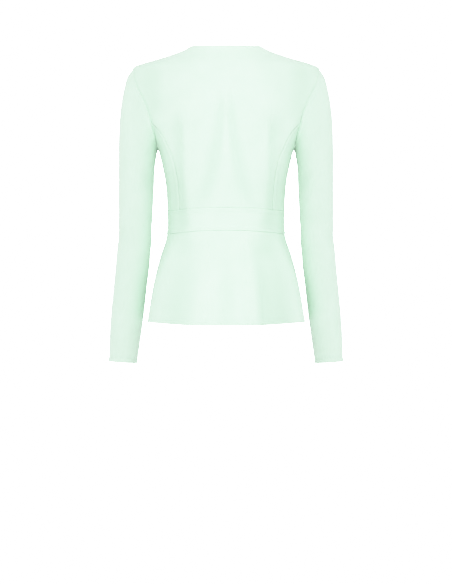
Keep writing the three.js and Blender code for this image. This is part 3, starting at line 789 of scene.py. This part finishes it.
def make_shell(name, middle, normal, half, uv, painted_fold_shade, round_about, material):
    """A closed shell about a middle surface: half the thickness out along the normal, and half in."""
    rows, columns = half.shape
    outer = middle + normal * half[..., None]
    inner = middle - normal * half[..., None]
    faces, kept = shell_faces(rows, columns, round_about)
    points = np.concatenate([outer.reshape(-1, 3), inner[kept]])
    # The folds' depth at the outer and kept inner points, for the painted shade in the hollows
    painted_fold_shades = np.concatenate([painted_fold_shade.ravel(), painted_fold_shade[kept]])
    return make_object(name, points, faces, material, corner_uv(uv), painted_fold_shades), outer


def rods(starts, ends, normals, thick, sink):
    """Joined stitches: each is a rod of five sides whose radius follows the square root of 1 − s⁴
    along it, s being −1 and 1 at its ends, and which dips into the cloth towards both ends."""
    sides = 5
    share = np.array([-0.86, -0.45, 0, 0.45, 0.86])
    turn = np.arange(sides) / sides * 2 * np.pi
    along = ends - starts
    middle = (starts + ends) / 2
    side = unit(np.cross(along, normals))
    radius = thick / 2 * np.sqrt(1 - share**4)
    ring = np.cos(turn)[:, None] * normals[:, None, None] + np.sin(turn)[:, None] * side[:, None, None]
    spine = middle[:, None, :] + share[:, None] * along[:, None, :] / 2
    spine = spine - (sink * share[:, None] ** 2 * 2) * normals[:, None, :]
    body = spine[:, :, None, :] + radius[:, None, None] * ring
    tips = np.stack([starts, ends], axis=1) - 2 * sink * normals[:, None, :]
    points = np.concatenate([body.reshape(len(starts), -1, 3), tips], axis=1)
    first, nexts = np.arange(sides), (np.arange(sides) + 1) % sides
    ring_starts = np.arange(len(share) - 1)[:, None] * sides
    corners = first, nexts, nexts + sides, first + sides
    quads = np.stack([ring_starts + corner for corner in corners], -1).reshape(-1, 4)
    start_tip, end_tip = len(share) * sides, len(share) * sides + 1
    last = (len(share) - 1) * sides
    start_cap = np.stack([np.full(sides, start_tip), nexts, first], -1)
    end_cap = np.stack([np.full(sides, end_tip), last + first, last + nexts], -1)
    faces = np.concatenate([quads[:, [0, 1, 2]], quads[:, [0, 2, 3]], start_cap, end_cap])
    offsets = np.arange(len(starts)) * points.shape[1]
    return points.reshape(-1, 3), (faces + offsets[:, None, None]).reshape(-1, 3)


def merged(meshes):
    """One set of points and faces from several."""
    offsets = np.cumsum([0] + [len(points) for points, _ in meshes[:-1]])
    points = np.concatenate([points for points, _ in meshes])
    return points, np.concatenate([faces + offset for (_, faces), offset in zip(meshes, offsets)])


def stitch_row(line, normals):
    """Stitches along a line of points on the cloth, at an even pitch by its length."""
    length = running_length(line, 0)
    many = int(length[-1] / STITCH["pitch"])
    at = (np.arange(many) + 0.5) * length[-1] / many

    def along(values, where):
        return np.stack([np.interp(where, length, values[:, k]) for k in range(3)], axis=-1)

    half = STITCH["long"] / 2
    across = unit(along(normals, at))
    lift = STITCH["thick"] * STITCH["proud"] * across
    starts = along(line, at - half) + lift
    ends = along(line, at + half) + lift
    return rods(starts, ends, across, STITCH["thick"], STITCH["sink"])


# Materials

def new_material(name, roughness):
    """A material of a given roughness, with its node tree and its shader."""
    material = bpy.data.materials.new(name)
    material.use_nodes = True
    tree = material.node_tree
    shader = tree.nodes["Principled BSDF"]
    shader.inputs["Roughness"].default_value = roughness
    return material, tree, shader


def add_node(tree, kind, links=(), **settings):
    """A node with its settings, and with each named or numbered input joined or set."""
    node = tree.nodes.new(kind)
    for key, value in settings.items():
        setattr(node, key, value)
    for key, value in dict(links).items():
        if isinstance(value, bpy.types.NodeSocket):
            tree.links.new(value, node.inputs[key])
        else:
            node.inputs[key].default_value = value
    return node


def calculate(tree, operation, *values):
    """The result of one sum on numbers or sockets."""
    return add_node(tree, "ShaderNodeMath", dict(enumerate(values)), operation=operation).outputs[0]


def blend_colours(tree, share, first, second):
    """A colour between two, by a share from 0 to 1."""
    links = {"Factor": share, "A": first, "B": second}
    return add_node(tree, "ShaderNodeMix", links, data_type="RGBA").outputs[2]


def add_bump(tree, height, strength, distance, **under):
    """The normal that a height gives, on top of another normal where one is named."""
    links = {"Height": height, "Strength": strength, "Distance": distance, **under}
    return add_node(tree, "ShaderNodeBump", links).outputs["Normal"]


def add_noise(tree, place, scale, detail, **settings):
    """A soft noise from 0 to 1."""
    links = {"Vector": place, "Scale": scale, "Detail": detail, **settings}
    return add_node(tree, "ShaderNodeTexNoise", links).outputs["Fac"]


# The cloth's colours: where it is lightest and darkest on the flat, which clouds at random, and
# the painted shade in the folds' hollows, full where a hollow is at least so many millimetres deep
CLOTH_LIGHT = (0.740, 0.914, 0.787, 1)
CLOTH_DARK = (0.701, 0.879, 0.749, 1)
# Painted shade: the colour that the cloth is darkened to in the deepest hollows of its folds
CLOTH_PAINTED_FOLD_SHADE = (0.640, 0.822, 0.690, 1)
FULL_PAINTED_SHADE_DEPTH = 8.0

# The knit's loops, in metres: the distance between wales and between courses, how far the courses
# lean, and how much they rise beside the wales
KNIT = {"wale": 0.00105, "course": 0.00082, "lean": 2.2, "rise": 0.28}


def knit_height(tree):
    """The face of a fine jersey: rows of small slanted loops. Each wale is a rounded ridge, and each
    course cuts it with a wave whose phase leans down on both sides of the wale."""
    place = add_node(tree, "ShaderNodeUVMap", uv_map="cloth").outputs["UV"]
    split = add_node(tree, "ShaderNodeSeparateXYZ", {0: place})
    across = calculate(tree, "MULTIPLY", split.outputs["X"], np.pi / KNIT["wale"])
    ridge = calculate(tree, "ABSOLUTE", calculate(tree, "SINE", across))
    lean = calculate(tree, "MULTIPLY", ridge, KNIT["lean"])
    up = calculate(tree, "MULTIPLY", split.outputs["Y"], 2 * np.pi / KNIT["course"])
    wave = calculate(tree, "SINE", calculate(tree, "ADD", up, lean))
    return calculate(tree, "MULTIPLY_ADD", wave, KNIT["rise"], ridge)


def cloth_material():
    """Fine matte knit: a colour that clouds softly, painted shade that darkens it in the hollows of the
    folds by their depth, a bump of loops on the cloth's flat coordinates, a fuzz of fibres and an uneven
    hand."""
    material, tree, shader = new_material("mint_knit", 0.86)
    shader.inputs["Specular IOR Level"].default_value = 0.22
    shader.inputs["Sheen Weight"].default_value = 0.30
    shader.inputs["Sheen Roughness"].default_value = 0.45
    place = add_node(tree, "ShaderNodeTexCoord").outputs["Object"]
    clouds = add_noise(tree, place, 22.0, 3.0)
    fibre = add_noise(tree, place, 1400.0, 2.0)
    shade = calculate(tree, "MULTIPLY_ADD", fibre, 0.55, clouds)
    light = add_node(tree, "ShaderNodeMapRange", {"Value": shade, "From Min": 0.45, "From Max": 1.1})
    flat = blend_colours(tree, light.outputs["Result"], CLOTH_DARK, CLOTH_LIGHT)
    # Painted shade: the colour darkens towards the fold shade colour with the depth of the fold at each
    # point
    painted_fold_shade = add_node(tree, "ShaderNodeAttribute", attribute_name="painted_fold_shade").outputs["Fac"]
    depth = add_node(tree, "ShaderNodeMapRange", {"Value": painted_fold_shade, "From Max": FULL_PAINTED_SHADE_DEPTH})
    colour = blend_colours(tree, depth.outputs["Result"], flat, CLOTH_PAINTED_FOLD_SHADE)
    tree.links.new(colour, shader.inputs["Base Color"])
    loops = add_bump(tree, knit_height(tree), 0.35, 0.00012)
    fuzz = add_bump(tree, fibre, 0.3, 0.0001, Normal=loops)
    hand = add_bump(tree, add_noise(tree, place, 55.0, 2.0), 0.5, 0.0006, Normal=fuzz)
    tree.links.new(hand, shader.inputs["Normal"])
    return material


def thread_material():
    """Twisted thread: a slanted wave on object coordinates for the twist, in its colour and bump."""
    material, tree, shader = new_material("mint_thread", 0.55)
    place = add_node(tree, "ShaderNodeTexCoord").outputs["Object"]
    wave = add_node(tree, "ShaderNodeTexWave", {"Vector": place, "Scale": 900.0, "Distortion": 1.5})
    twist = wave.outputs["Fac"]
    colour = blend_colours(tree, twist, (0.69, 0.86, 0.74, 1), (0.76, 0.92, 0.81, 1))
    tree.links.new(colour, shader.inputs["Base Color"])
    tree.links.new(add_bump(tree, twist, 0.4, 0.0001), shader.inputs["Normal"])
    return material


def button_material():
    """A plain moulded button, dyed to match: soft clouds in the colour and in a faint bump."""
    material, tree, shader = new_material("mint_button", 0.32)
    shader.inputs["Coat Weight"].default_value = 0.25
    shader.inputs["Coat Roughness"].default_value = 0.25
    place = add_node(tree, "ShaderNodeTexCoord").outputs["Object"]
    clouds = add_noise(tree, place, 260.0, 4.0, Distortion=0.8)
    colour = blend_colours(tree, clouds, (0.60, 0.78, 0.67, 1), (0.72, 0.89, 0.78, 1))
    tree.links.new(colour, shader.inputs["Base Color"])
    tree.links.new(add_bump(tree, clouds, 0.12, 0.0002), shader.inputs["Normal"])
    return material


def stage_material():
    """The floor's pale paint: a slight mottle in its colour."""
    material, tree, shader = new_material("pale_floor", 0.9)
    place = add_node(tree, "ShaderNodeTexCoord").outputs["Object"]
    mottle = add_noise(tree, place, 3.0, 2.0)
    colour = blend_colours(tree, mottle, (0.93, 0.93, 0.93, 1), (0.95, 0.95, 0.95, 1))
    tree.links.new(colour, shader.inputs["Base Color"])
    return material


cloth = cloth_material()
thread = thread_material()
button_finish = button_material()


# Cloth pieces

def body_piece(name, place, free, allowance=(0,) * 4, lapped=False, stitch_rows=(), hem=None):
    """One cut piece of the body. Its borders are bottom, top, left and right: free says which are
    loose edges, allowance on which of them the seam is turned in under this piece, and hem which
    one is turned up. A lapped piece lies on the other front. Each row of stitches runs at a distance
    from the bottom (0) or the top (1)."""
    t, u = patch_grid(place)
    angle, z = place(t, u)
    points = body_point(angle, z, lapped)
    normal = body_normal(angle, z, lapped)
    distances = border_distances(points)
    bottom, _, left, right = distances
    edges = [np.broadcast_to(edge, z.shape) for edge in free]
    half = half_thickness(distances, edges)
    rise = np.zeros_like(z)
    deep = dip_share(z) if name.startswith(("back", "side", "front")) else 1
    for k, (distance, along) in enumerate(zip(distances, (left, left, bottom, bottom))):
        seed = len(name) + 1.3 * k
        rise += seam_relief(distance, along, edges[k], allowance[k], seed, deep)
    if hem is not None:
        rise += hem_relief(distances[hem], HEM["wide"])
    sunk = WALL / 2 * np.ones_like(z)
    for distance, loose in zip(distances, edges):
        sunk = sunk * mix(ease(0, SEAM_RADIUS, distance), 1, loose)
    middle = points + normal * (rise - sunk)[..., None]
    push_out(middle, edges)
    uv = np.stack([(left - right) / 2, bottom], axis=-1)
    # The depth of the folds at each point, which the cloth's material paints as shade in the hollows
    painted_fold_shade = body_painted_shade_depth(angle, z)
    piece, outer = make_shell(f"{name}_cloth", middle, normal, half, uv, painted_fold_shade, False, cloth)
    rows = []
    for from_top, away in stitch_rows:
        row = int(np.argmin(np.abs(NEAR - away)))
        row = len(z) - 1 - row if from_top else row
        inside = slice(STITCH["start"], -STITCH["start"])
        rows.append(stitch_row(outer[row, inside], normal[row, inside]))
    dress(name, piece, rows)


def push_out(middle, edges):
    """Moves each sewn border a little past its seam line, away from its own piece, so that the two
    pieces of a seam close on each other."""
    grid = middle.copy()
    for border, inside, loose in (
        ((0, slice(None)), (1, slice(None)), edges[0][0]),
        ((-1, slice(None)), (-2, slice(None)), edges[1][-1]),
        ((slice(None), 0), (slice(None), 1), edges[2][:, 0]),
        ((slice(None), -1), (slice(None), -2), edges[3][:, -1]),
    ):
        away = unit(grid[border] - grid[inside])
        middle[border] += away * (SEAM_OVERLAP * (1 - loose))[:, None]


def sewing(name, points, faces):
    """A piece of sewing thread, which moves with the cloth."""
    made = make_object(name, points, faces, thread)
    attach(made, "root")
    return made


def dress(name, piece, rows):
    """Puts a cloth piece and its stitches in the frame, in place of its node."""
    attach(piece, "root")
    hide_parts(name)
    sewn = [sewing(f"{name}_stitches", *merged(rows))] if rows else []
    kind = name.replace("_left", "").replace("_right", "")
    kind = f"{kind}_front" if kind in ("waistband", "peplum") else kind


def left_angle(z):
    """The angle of the left side seam of a band, the same at each height."""
    return QUARTER


def right_angle(z):
    """The angle of the right side seam of a band, the same at each height."""
    return -QUARTER


def edge_angle(z):
    """The angle of the left front's edge, which runs straight down past the middle."""
    return angle_at_x(np.full_like(z, -FRONT_EDGE), z, "front")


# A border is sewn or loose, and under it a seam is turned in or it is plain
SEWN = 0.0
LOOSE = 1.0
UNDER = 1.0
PLAIN = 0.0
NONE_TURNED_IN = (PLAIN,) * 4

left_half = shoulder_seam()
right_half = shoulder_seam(-1)
back_top = joined(right_half, back_neckline(), (left_half[0][::-1], left_half[1][::-1]))
back_left = mirrored(back_side)
back_place = flat_patch(waist_seam(back_left, back_side), back_top, back_left, back_side, "back")


def neckline_share():
    """How loose the back's top border is: 1 along the neckline and 0 along the shoulder seams."""
    _, u = patch_grid(back_place)
    x = at_share(back_top, "x", u[-1])
    neck_half = read(FIGURE, "half", NECK["side"])
    return ease(neck_half + NECK_SOFT, neck_half - NECK_SOFT, np.abs(x))


back_turned_in = (PLAIN, UNDER, PLAIN, PLAIN)
body_piece("back", back_place, (SEWN, neckline_share(), SEWN, SEWN), back_turned_in)

side_turns = np.linspace(PANEL_SEAM_TURN, 2 * np.pi - PANEL_SEAM_TURN, SEAM_POINTS)
side_top = seam_line(*armhole(side_turns))
back_panel_line = seam_line(*back_panel_seam)
front_panel_line = seam_line(*front_panel_seam)
side_place = side_patch(
    waist_seam(back_panel_line, front_panel_line), side_top, back_panel_line, front_panel_line
)
side_turned_in = (PLAIN, PLAIN, UNDER, UNDER)
body_piece("side_left", side_place, (SEWN,) * 4, side_turned_in)
body_piece("side_right", other_side(side_place), (SEWN,) * 4, side_turned_in)

left_front_edge = front_edge()
front_place = flat_patch(
    waist_seam(front_side, left_front_edge),
    seam_line(*shoulder_seam()),
    front_side,
    left_front_edge,
    "front",
)
body_piece("front_left", front_place, (SEWN, SEWN, SEWN, LOOSE))
body_piece("front_right", other_side(front_place), (SEWN, SEWN, LOOSE, SEWN), lapped=True)

band_rows = ((0, BAND_STITCH_ROW), (1, BAND_STITCH_ROW))
band_turned_in = (UNDER, UNDER, PLAIN, PLAIN)
band_back = strip(BAND_FOOT, BAND_TOP, right_angle, left_angle)
band_front = strip(BAND_FOOT, BAND_TOP, left_angle, edge_angle)
body_piece("waistband_back", band_back, (SEWN,) * 4, band_turned_in, stitch_rows=band_rows)
body_piece("waistband_left", band_front, (SEWN, SEWN, SEWN, LOOSE), band_turned_in, stitch_rows=band_rows)
right_band = other_side(band_front)
right_band_edges = (SEWN, SEWN, LOOSE, SEWN)
body_piece("waistband_right", right_band, right_band_edges, band_turned_in, True, band_rows)

hem_rows = ((0, HEM["wide"]),)
peplum_back = strip(HEM_LEVEL, BAND_FOOT, right_angle, left_angle)
peplum_front = strip(HEM_LEVEL, BAND_FOOT, left_angle, edge_angle)
body_piece("peplum_back", peplum_back, (LOOSE, SEWN, SEWN, SEWN), stitch_rows=hem_rows, hem=0)
body_piece("peplum_left", peplum_front, (LOOSE, SEWN, SEWN, LOOSE), stitch_rows=hem_rows, hem=0)
right_peplum = other_side(peplum_front)
right_peplum_edges = (LOOSE, SEWN, LOOSE, SEWN)
body_piece("peplum_right", right_peplum, right_peplum_edges, NONE_TURNED_IN, True, hem_rows, hem=0)


# Sleeves

def ring_point(z, turn):
    """A point of the left sleeve's rings: from its outermost to its innermost point with (1 − cos)/2
    of the turn, and half the depth times the sine to the back or front."""
    share = (1 - np.cos(turn)) / 2
    x = mix(read(SLEEVE, "out", z), read(SLEEVE, "inside", z), share)
    height = mix(z, read(SLEEVE, "in_z", z), share)
    y = read(SLEEVE, "middle", z) + read(SLEEVE, "deep", z) * np.sin(turn)
    return np.stack([x, y, height], axis=-1)


def sleeve_folds(z, turn):
    """The rise of the sleeve's soft folds, each a bell along the sleeve times a bell round it."""
    rise = np.zeros_like(z)
    for height, middle, high, long, wide in zip(*SLEEVE_FOLDS.values()):
        rise += high * bell((z - height) / long) * bell(degrees_from(turn, middle) / wide)
    return rise


def sleeve_point(z, turn):
    """A point of the left sleeve's outer face: its ring, drawn over the cap to meet the armhole, and
    moved out from the sleeve's middle by the folds and creases."""
    point = ring_point(z, turn)
    drawn = ease(CAP_FOOT, SHOULDER_TIP, z)[..., None]
    top = np.full_like(z, SHOULDER_TIP)
    point = point + drawn * (body_point(*armhole(turn)) - ring_point(top, turn))
    spine = mix(ring_point(z, np.zeros_like(z)), ring_point(z, np.full_like(z, np.pi)), 0.5)
    spine[..., 1] = read(SLEEVE, "middle", z)
    outward = point - spine
    outward[..., 2] = 0
    around = signed_angle(turn) * SLEEVE_CREASE_RADIUS
    fine = crease_rise(around, z, SLEEVE_CREASES, SLEEVE_CREASE_RADIUS)
    return point + unit(outward) * (sleeve_folds(z, turn) + fine)[..., None]


def sleeve_normal(z, turn):
    """The outward direction of the sleeve: the cross product of two short steps along it."""
    twist, lift = 0.01, 0.4
    top = np.minimum(z + lift, SHOULDER_TIP)
    across = sleeve_point(z, turn - twist) - sleeve_point(z, turn + twist)
    up = sleeve_point(top, turn) - sleeve_point(z - lift, turn)
    return unit(np.cross(up, across))


def sleeve_piece(name, on_right):
    """A set-in sleeve: a closed shell round the arm, whose head stands a little proud of the armhole
    seam. The right one is the left one mirrored, with its columns turned round."""
    turn = -np.arange(SLEEVE_COLUMNS) / SLEEVE_COLUMNS * 2 * np.pi
    probe = np.linspace(CUFF, SHOULDER_TIP, SLEEVE_PROBES)
    lines = sleeve_point(*np.meshgrid(probe, turn, indexing="xy"))
    z = spaced_shares(lines, probe).T
    z[0] = CUFF
    z[-1] = SHOULDER_TIP
    turns = np.broadcast_to(turn, z.shape)
    points = sleeve_point(z, turns)
    normal = sleeve_normal(z, turns)
    up = running_length(points, 0)
    down = up[-1:] - up
    loose = (np.ones_like(z), np.zeros_like(z))
    half = half_thickness((up, down), loose)
    around = running_length(np.concatenate([points, points[:, :1]], axis=1), 1)
    from_underarm = np.abs(np.abs(turn) - np.pi)
    open_share = ease(UNDERARM_FOLD["full_at"], UNDERARM_FOLD["starts_at"], from_underarm)
    head = SLEEVE_HEAD["rise"] * bell((down - SLEEVE_HEAD["at"]) / SLEEVE_HEAD["wide"]) * open_share
    dip = seam_relief(down, around[:, :-1], 0, 0, SLEEVE_SEED, dip_share(armhole(turns)[1]))
    dip = dip * open_share
    rise = head + dip + hem_relief(up, CUFF_HEM)
    body = body_normal(*armhole(turns))
    own = mix(1, ease(0, OWN_DIRECTION, down), open_share)[..., None]
    lift_direction = unit(mix(body, normal, own))
    sunk = WALL / 2 * ease(0, SEAM_RADIUS, down)
    middle = points + lift_direction * rise[..., None] - normal * sunk[..., None]
    middle[-1] += unit(middle[-1] - middle[-2]) * SEAM_OVERLAP
    uv = np.stack([around, np.concatenate([up, up[:, :1]], axis=1)], axis=-1)
    # The depth of the sleeve's folds at each point, which the cloth's material paints as shade in the
    # hollows
    painted_fold_shade = np.maximum(0, -sleeve_folds(z, turns))
    if on_right:
        middle, normal = ((grid * (-1, 1, 1))[:, ::-1] for grid in (middle, normal))
        half = half[:, ::-1]
        painted_fold_shade = painted_fold_shade[:, ::-1]
        uv = uv[:, ::-1]
    piece, outer = make_shell(f"{name}_cloth", middle, normal, half, uv, painted_fold_shade, True, cloth)
    row = int(np.argmin(np.abs(NEAR - CUFF_HEM)))
    closed = np.append(np.arange(SLEEVE_COLUMNS), 0)
    dress(name, piece, [stitch_row(outer[row, closed], normal[row, closed])])


sleeve_piece("sleeve_left", False)
sleeve_piece("sleeve_right", True)


# Buttons and buttonholes

def button_piece(k, z):
    """A round button: its top is a height over the radius, with a softened rim and a sunk middle,
    and four pits where the thread goes through."""
    radius, thick, edge = BUTTON["radius"], BUTTON["thick"], BUTTON["edge"]
    sunk_radius = radius - edge - BUTTON["rim"]
    arc = np.linspace(0, QUARTER, 7)
    flat_r = np.linspace(BUTTON_POLE, radius - edge, 44)
    top_r = np.concatenate([flat_r, radius - edge + edge * np.sin(arc[1:])])
    top_h = np.concatenate([np.full_like(flat_r, thick), thick - edge + edge * np.cos(arc[1:])])
    slope = sunk_radius + BUTTON_SLOPE["outside"], sunk_radius - BUTTON_SLOPE["inside"]
    top_h = top_h - BUTTON["sink"] * ease(*slope, top_r)
    low_r = radius - edge + edge * np.cos(arc)
    low_h = edge - edge * np.sin(arc)
    ring_r = np.concatenate([top_r, low_r, [BUTTON_POLE]])
    ring_h = np.concatenate([top_h, low_h, [0.0]])
    columns = 72
    turn = np.arange(columns) / columns * 2 * np.pi
    x = ring_r[:, None] * np.cos(turn)
    y = ring_r[:, None] * np.sin(turn)
    height = np.repeat(ring_h[:, None], columns, axis=1)
    is_top = (np.arange(len(ring_r)) < len(top_r))[:, None]
    apart, pit_radius = BUTTON_HOLES["apart"], BUTTON_HOLES["radius"]
    slope = pit_radius + PIT_SLOPE["outside"], pit_radius - PIT_SLOPE["inside"]
    for a, b in ((-1, -1), (-1, 1), (1, -1), (1, 1)):
        away = np.hypot(x - a * apart, y - b * apart)
        height = height - is_top * BUTTON_HOLES["deep"] * ease(*slope, away)
    grid = np.stack([x, y, height], axis=-1)
    place = np.array([np.pi]), np.array([float(z)])
    outward = body_normal(*place, True)[0]
    centre = body_point(*place, True)[0] + outward * BUTTON["stand_off"]
    side = unit(np.cross((0, 0, 1), outward))
    up = np.cross(outward, side)
    basis = np.stack([side, up, outward])
    ids = np.arange(grid.shape[0] * columns).reshape(-1, columns)
    quads = grid_quads(ids, True)
    top_pole, low_pole = ids.size, ids.size + 1
    poles = np.array([(0, 0, thick - BUTTON["sink"]), (0, 0, 0)])
    top_cap = np.stack([np.full(columns, top_pole), ids[0], np.roll(ids[0], -1)], -1)
    low_cap = np.stack([np.full(columns, low_pole), np.roll(ids[-1], -1), ids[-1]], -1)
    faces = np.concatenate([quads[:, [0, 1, 2]], quads[:, [0, 2, 3]], top_cap, low_cap])
    points = np.concatenate([grid.reshape(-1, 3), poles]) @ basis + centre
    button = make_object(f"button_{k}_shaped", points, faces, button_finish)
    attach(button, "root")
    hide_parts(f"button_{k}")
    level = thick - BUTTON["sink"] + BUTTON_THREAD["lift"]
    beside = BUTTON_THREAD["beside"]
    across = (-apart - beside, -apart + beside, apart - beside, apart + beside)
    starts = np.array([(-apart, y, level) for y in across])
    ends = starts * (-1, 1, 1)
    normals = np.tile(outward, (len(starts), 1))
    thick, sink = BUTTON_THREAD["thick"], BUTTON_THREAD["sink"]
    strands = rods(starts @ basis + centre, ends @ basis + centre, normals, thick, sink)
    sewing(f"button_{k}_thread", *strands)


def buttonhole_piece(k, z):
    """A worked buttonhole under a button: short stitches side by side, square to a line that runs
    along the slit, round its end and back."""
    half = BUTTONHOLE["half"]
    run = np.arange(BUTTONHOLE["to_x"], BUTTONHOLE["from_x"], BUTTONHOLE["pitch"])
    bend = np.linspace(-QUARTER, QUARTER, 9)[1:-1]
    right_end = BUTTONHOLE["from_x"] + half * np.cos(bend)
    left_end = BUTTONHOLE["to_x"] - half * np.cos(bend)
    x = np.concatenate([run, right_end, run[::-1], left_end])
    lift = np.concatenate([-half + 0 * run, half * np.sin(bend), half + 0 * run, -half * np.sin(bend)])
    spine_x = np.clip(x, BUTTONHOLE["to_x"], BUTTONHOLE["from_x"])
    away = unit(np.stack([x - spine_x, lift], -1))

    def on_cloth(across, up):
        height = z + up
        angle = angle_at_x(across, height, "front")
        return body_point(angle, height, True), body_normal(angle, height, True)

    spine = np.stack([x, lift], -1)
    starts, normals = on_cloth(*(spine - away * BUTTONHOLE["in"]).T)
    ends, _ = on_cloth(*(spine + away * BUTTONHOLE["out"]).T)
    proud = normals * BUTTONHOLE_THREAD["lift"]
    thick, sink = BUTTONHOLE_THREAD["thick"], BUTTONHOLE_THREAD["sink"]
    sewing(f"buttonhole_{k}", *rods(starts + proud, ends + proud, normals, thick, sink))


for k, z in enumerate(BUTTON_HEIGHTS, start=1):
    button_piece(k, z)
    buttonhole_piece(k, z)


# Stage, lights and camera

# Here lengths are metres. The world's light is the level plus the gain in its lobes before and
# behind, and "seen" is added to it where the camera sees the backdrop. A lamp's beam is its whole
# angle in degrees.
FLOOR = {"level": -1.43, "radius": 2.2, "sides": 96}
CAMERA_HEIGHT = -0.511
CAMERA_DISTANCE = 4.5
FRAME_HEIGHT = 1.215
SENSOR = 36.0
WORLD = {"level": 0.43, "gain": 0.34, "power": 4, "seen": 4.0}
TONE = {"gain": 2.0, "power": 8}
TONE_POINTS = (0.5, 0.7, 0.8, 0.9, 1.0, 1.1, 1.25, 1.5)
KEY = {"away": 3.8, "up": 1.2, "aim": -0.25, "wide": 0.10, "tall": 1.3, "power": 0.075, "beam": 6.5}
FILL = {"away": 4.0, "up": 0.5, "aim": -0.35, "wide": 1.0, "tall": 1.0, "power": 2.5, "beam": 120}


def make_floor():
    """A round pale floor below the cuffs."""
    sides, radius, place = FLOOR["sides"], FLOOR["radius"], (0, 0, FLOOR["level"])
    bpy.ops.mesh.primitive_circle_add(vertices=sides, radius=radius, fill_type="NGON", location=place)
    floor = bpy.context.object
    floor.name = "floor"
    floor.data.materials.append(stage_material())


def add_light(name, side, kind):
    """A soft light with a grid, on one side of the garment, given as a level direction."""
    lamp = bpy.data.lights.new(name, "AREA")
    lamp.shape = "RECTANGLE"
    lamp.size = kind["wide"]
    lamp.size_y = kind["tall"]
    lamp.energy = kind["power"]
    lamp.spread = np.radians(kind["beam"])
    light = bpy.data.objects.new(name, lamp)
    light.location = (side[0] * kind["away"], side[1] * kind["away"], kind["up"])
    aim = Vector((0, 0, kind["aim"])) - light.location
    light.rotation_euler = aim.to_track_quat("-Z", "Y").to_euler()
    light.visible_camera = False
    bpy.context.scene.collection.objects.link(light)


def make_world():
    """A white studio, brighter before and behind the garment: its light is a level plus a gain times
    the direction's |y| to a power. The backdrop that shows is brighter than the light that it gives."""
    world = bpy.data.worlds.new("studio")
    world.use_nodes = True
    tree = world.node_tree
    background = tree.nodes["Background"]
    background.inputs["Color"].default_value = (1, 1, 1, 1)
    way = add_node(tree, "ShaderNodeTexCoord").outputs["Generated"]
    along = add_node(tree, "ShaderNodeSeparateXYZ", {0: way}).outputs["Y"]
    lobe = calculate(tree, "POWER", calculate(tree, "ABSOLUTE", along), WORLD["power"])
    light = calculate(tree, "MULTIPLY_ADD", lobe, WORLD["gain"], WORLD["level"])
    seen = add_node(tree, "ShaderNodeLightPath").outputs["Is Camera Ray"]
    strength = calculate(tree, "MULTIPLY_ADD", seen, WORLD["seen"], light)
    tree.links.new(strength, background.inputs["Strength"])
    bpy.context.scene.world = world


def set_tones():
    """The picture's tones: light x shows as gx / (1 + (gx)ⁿ) to the power 1/n, where g is the gain.
    It rolls off softly towards white."""
    settings = bpy.context.scene.view_settings
    settings.view_transform = "Standard"
    settings.use_curve_mapping = True
    settings.curve_mapping.extend = "HORIZONTAL"
    curve = settings.curve_mapping.curves[3]
    gain, power = TONE["gain"], TONE["power"]
    for shown in TONE_POINTS:
        curve.points.new(shown / gain, shown / (1 + shown**power) ** (1 / power))
    settings.curve_mapping.update()


def make_camera():
    """A level camera behind the garment. Its lens takes in the frame's height at its distance."""
    camera = bpy.data.cameras.new("camera")
    camera.sensor_width = SENSOR
    camera.lens = SENSOR * CAMERA_DISTANCE / FRAME_HEIGHT
    holder = bpy.data.objects.new("camera", camera)
    holder.location = (0, CAMERA_DISTANCE, CAMERA_HEIGHT)
    holder.rotation_euler = Vector((0, -1, 0)).to_track_quat("-Z", "Y").to_euler()
    bpy.context.scene.collection.objects.link(holder)
    bpy.context.scene.camera = holder


set_tones()
make_floor()
make_world()
add_light("back_key", (0, 1), KEY)
add_light("front_key", (0, -1), KEY)
add_light("left_fill", (1, 0), FILL)
add_light("right_fill", (-1, 0), FILL)
make_camera()
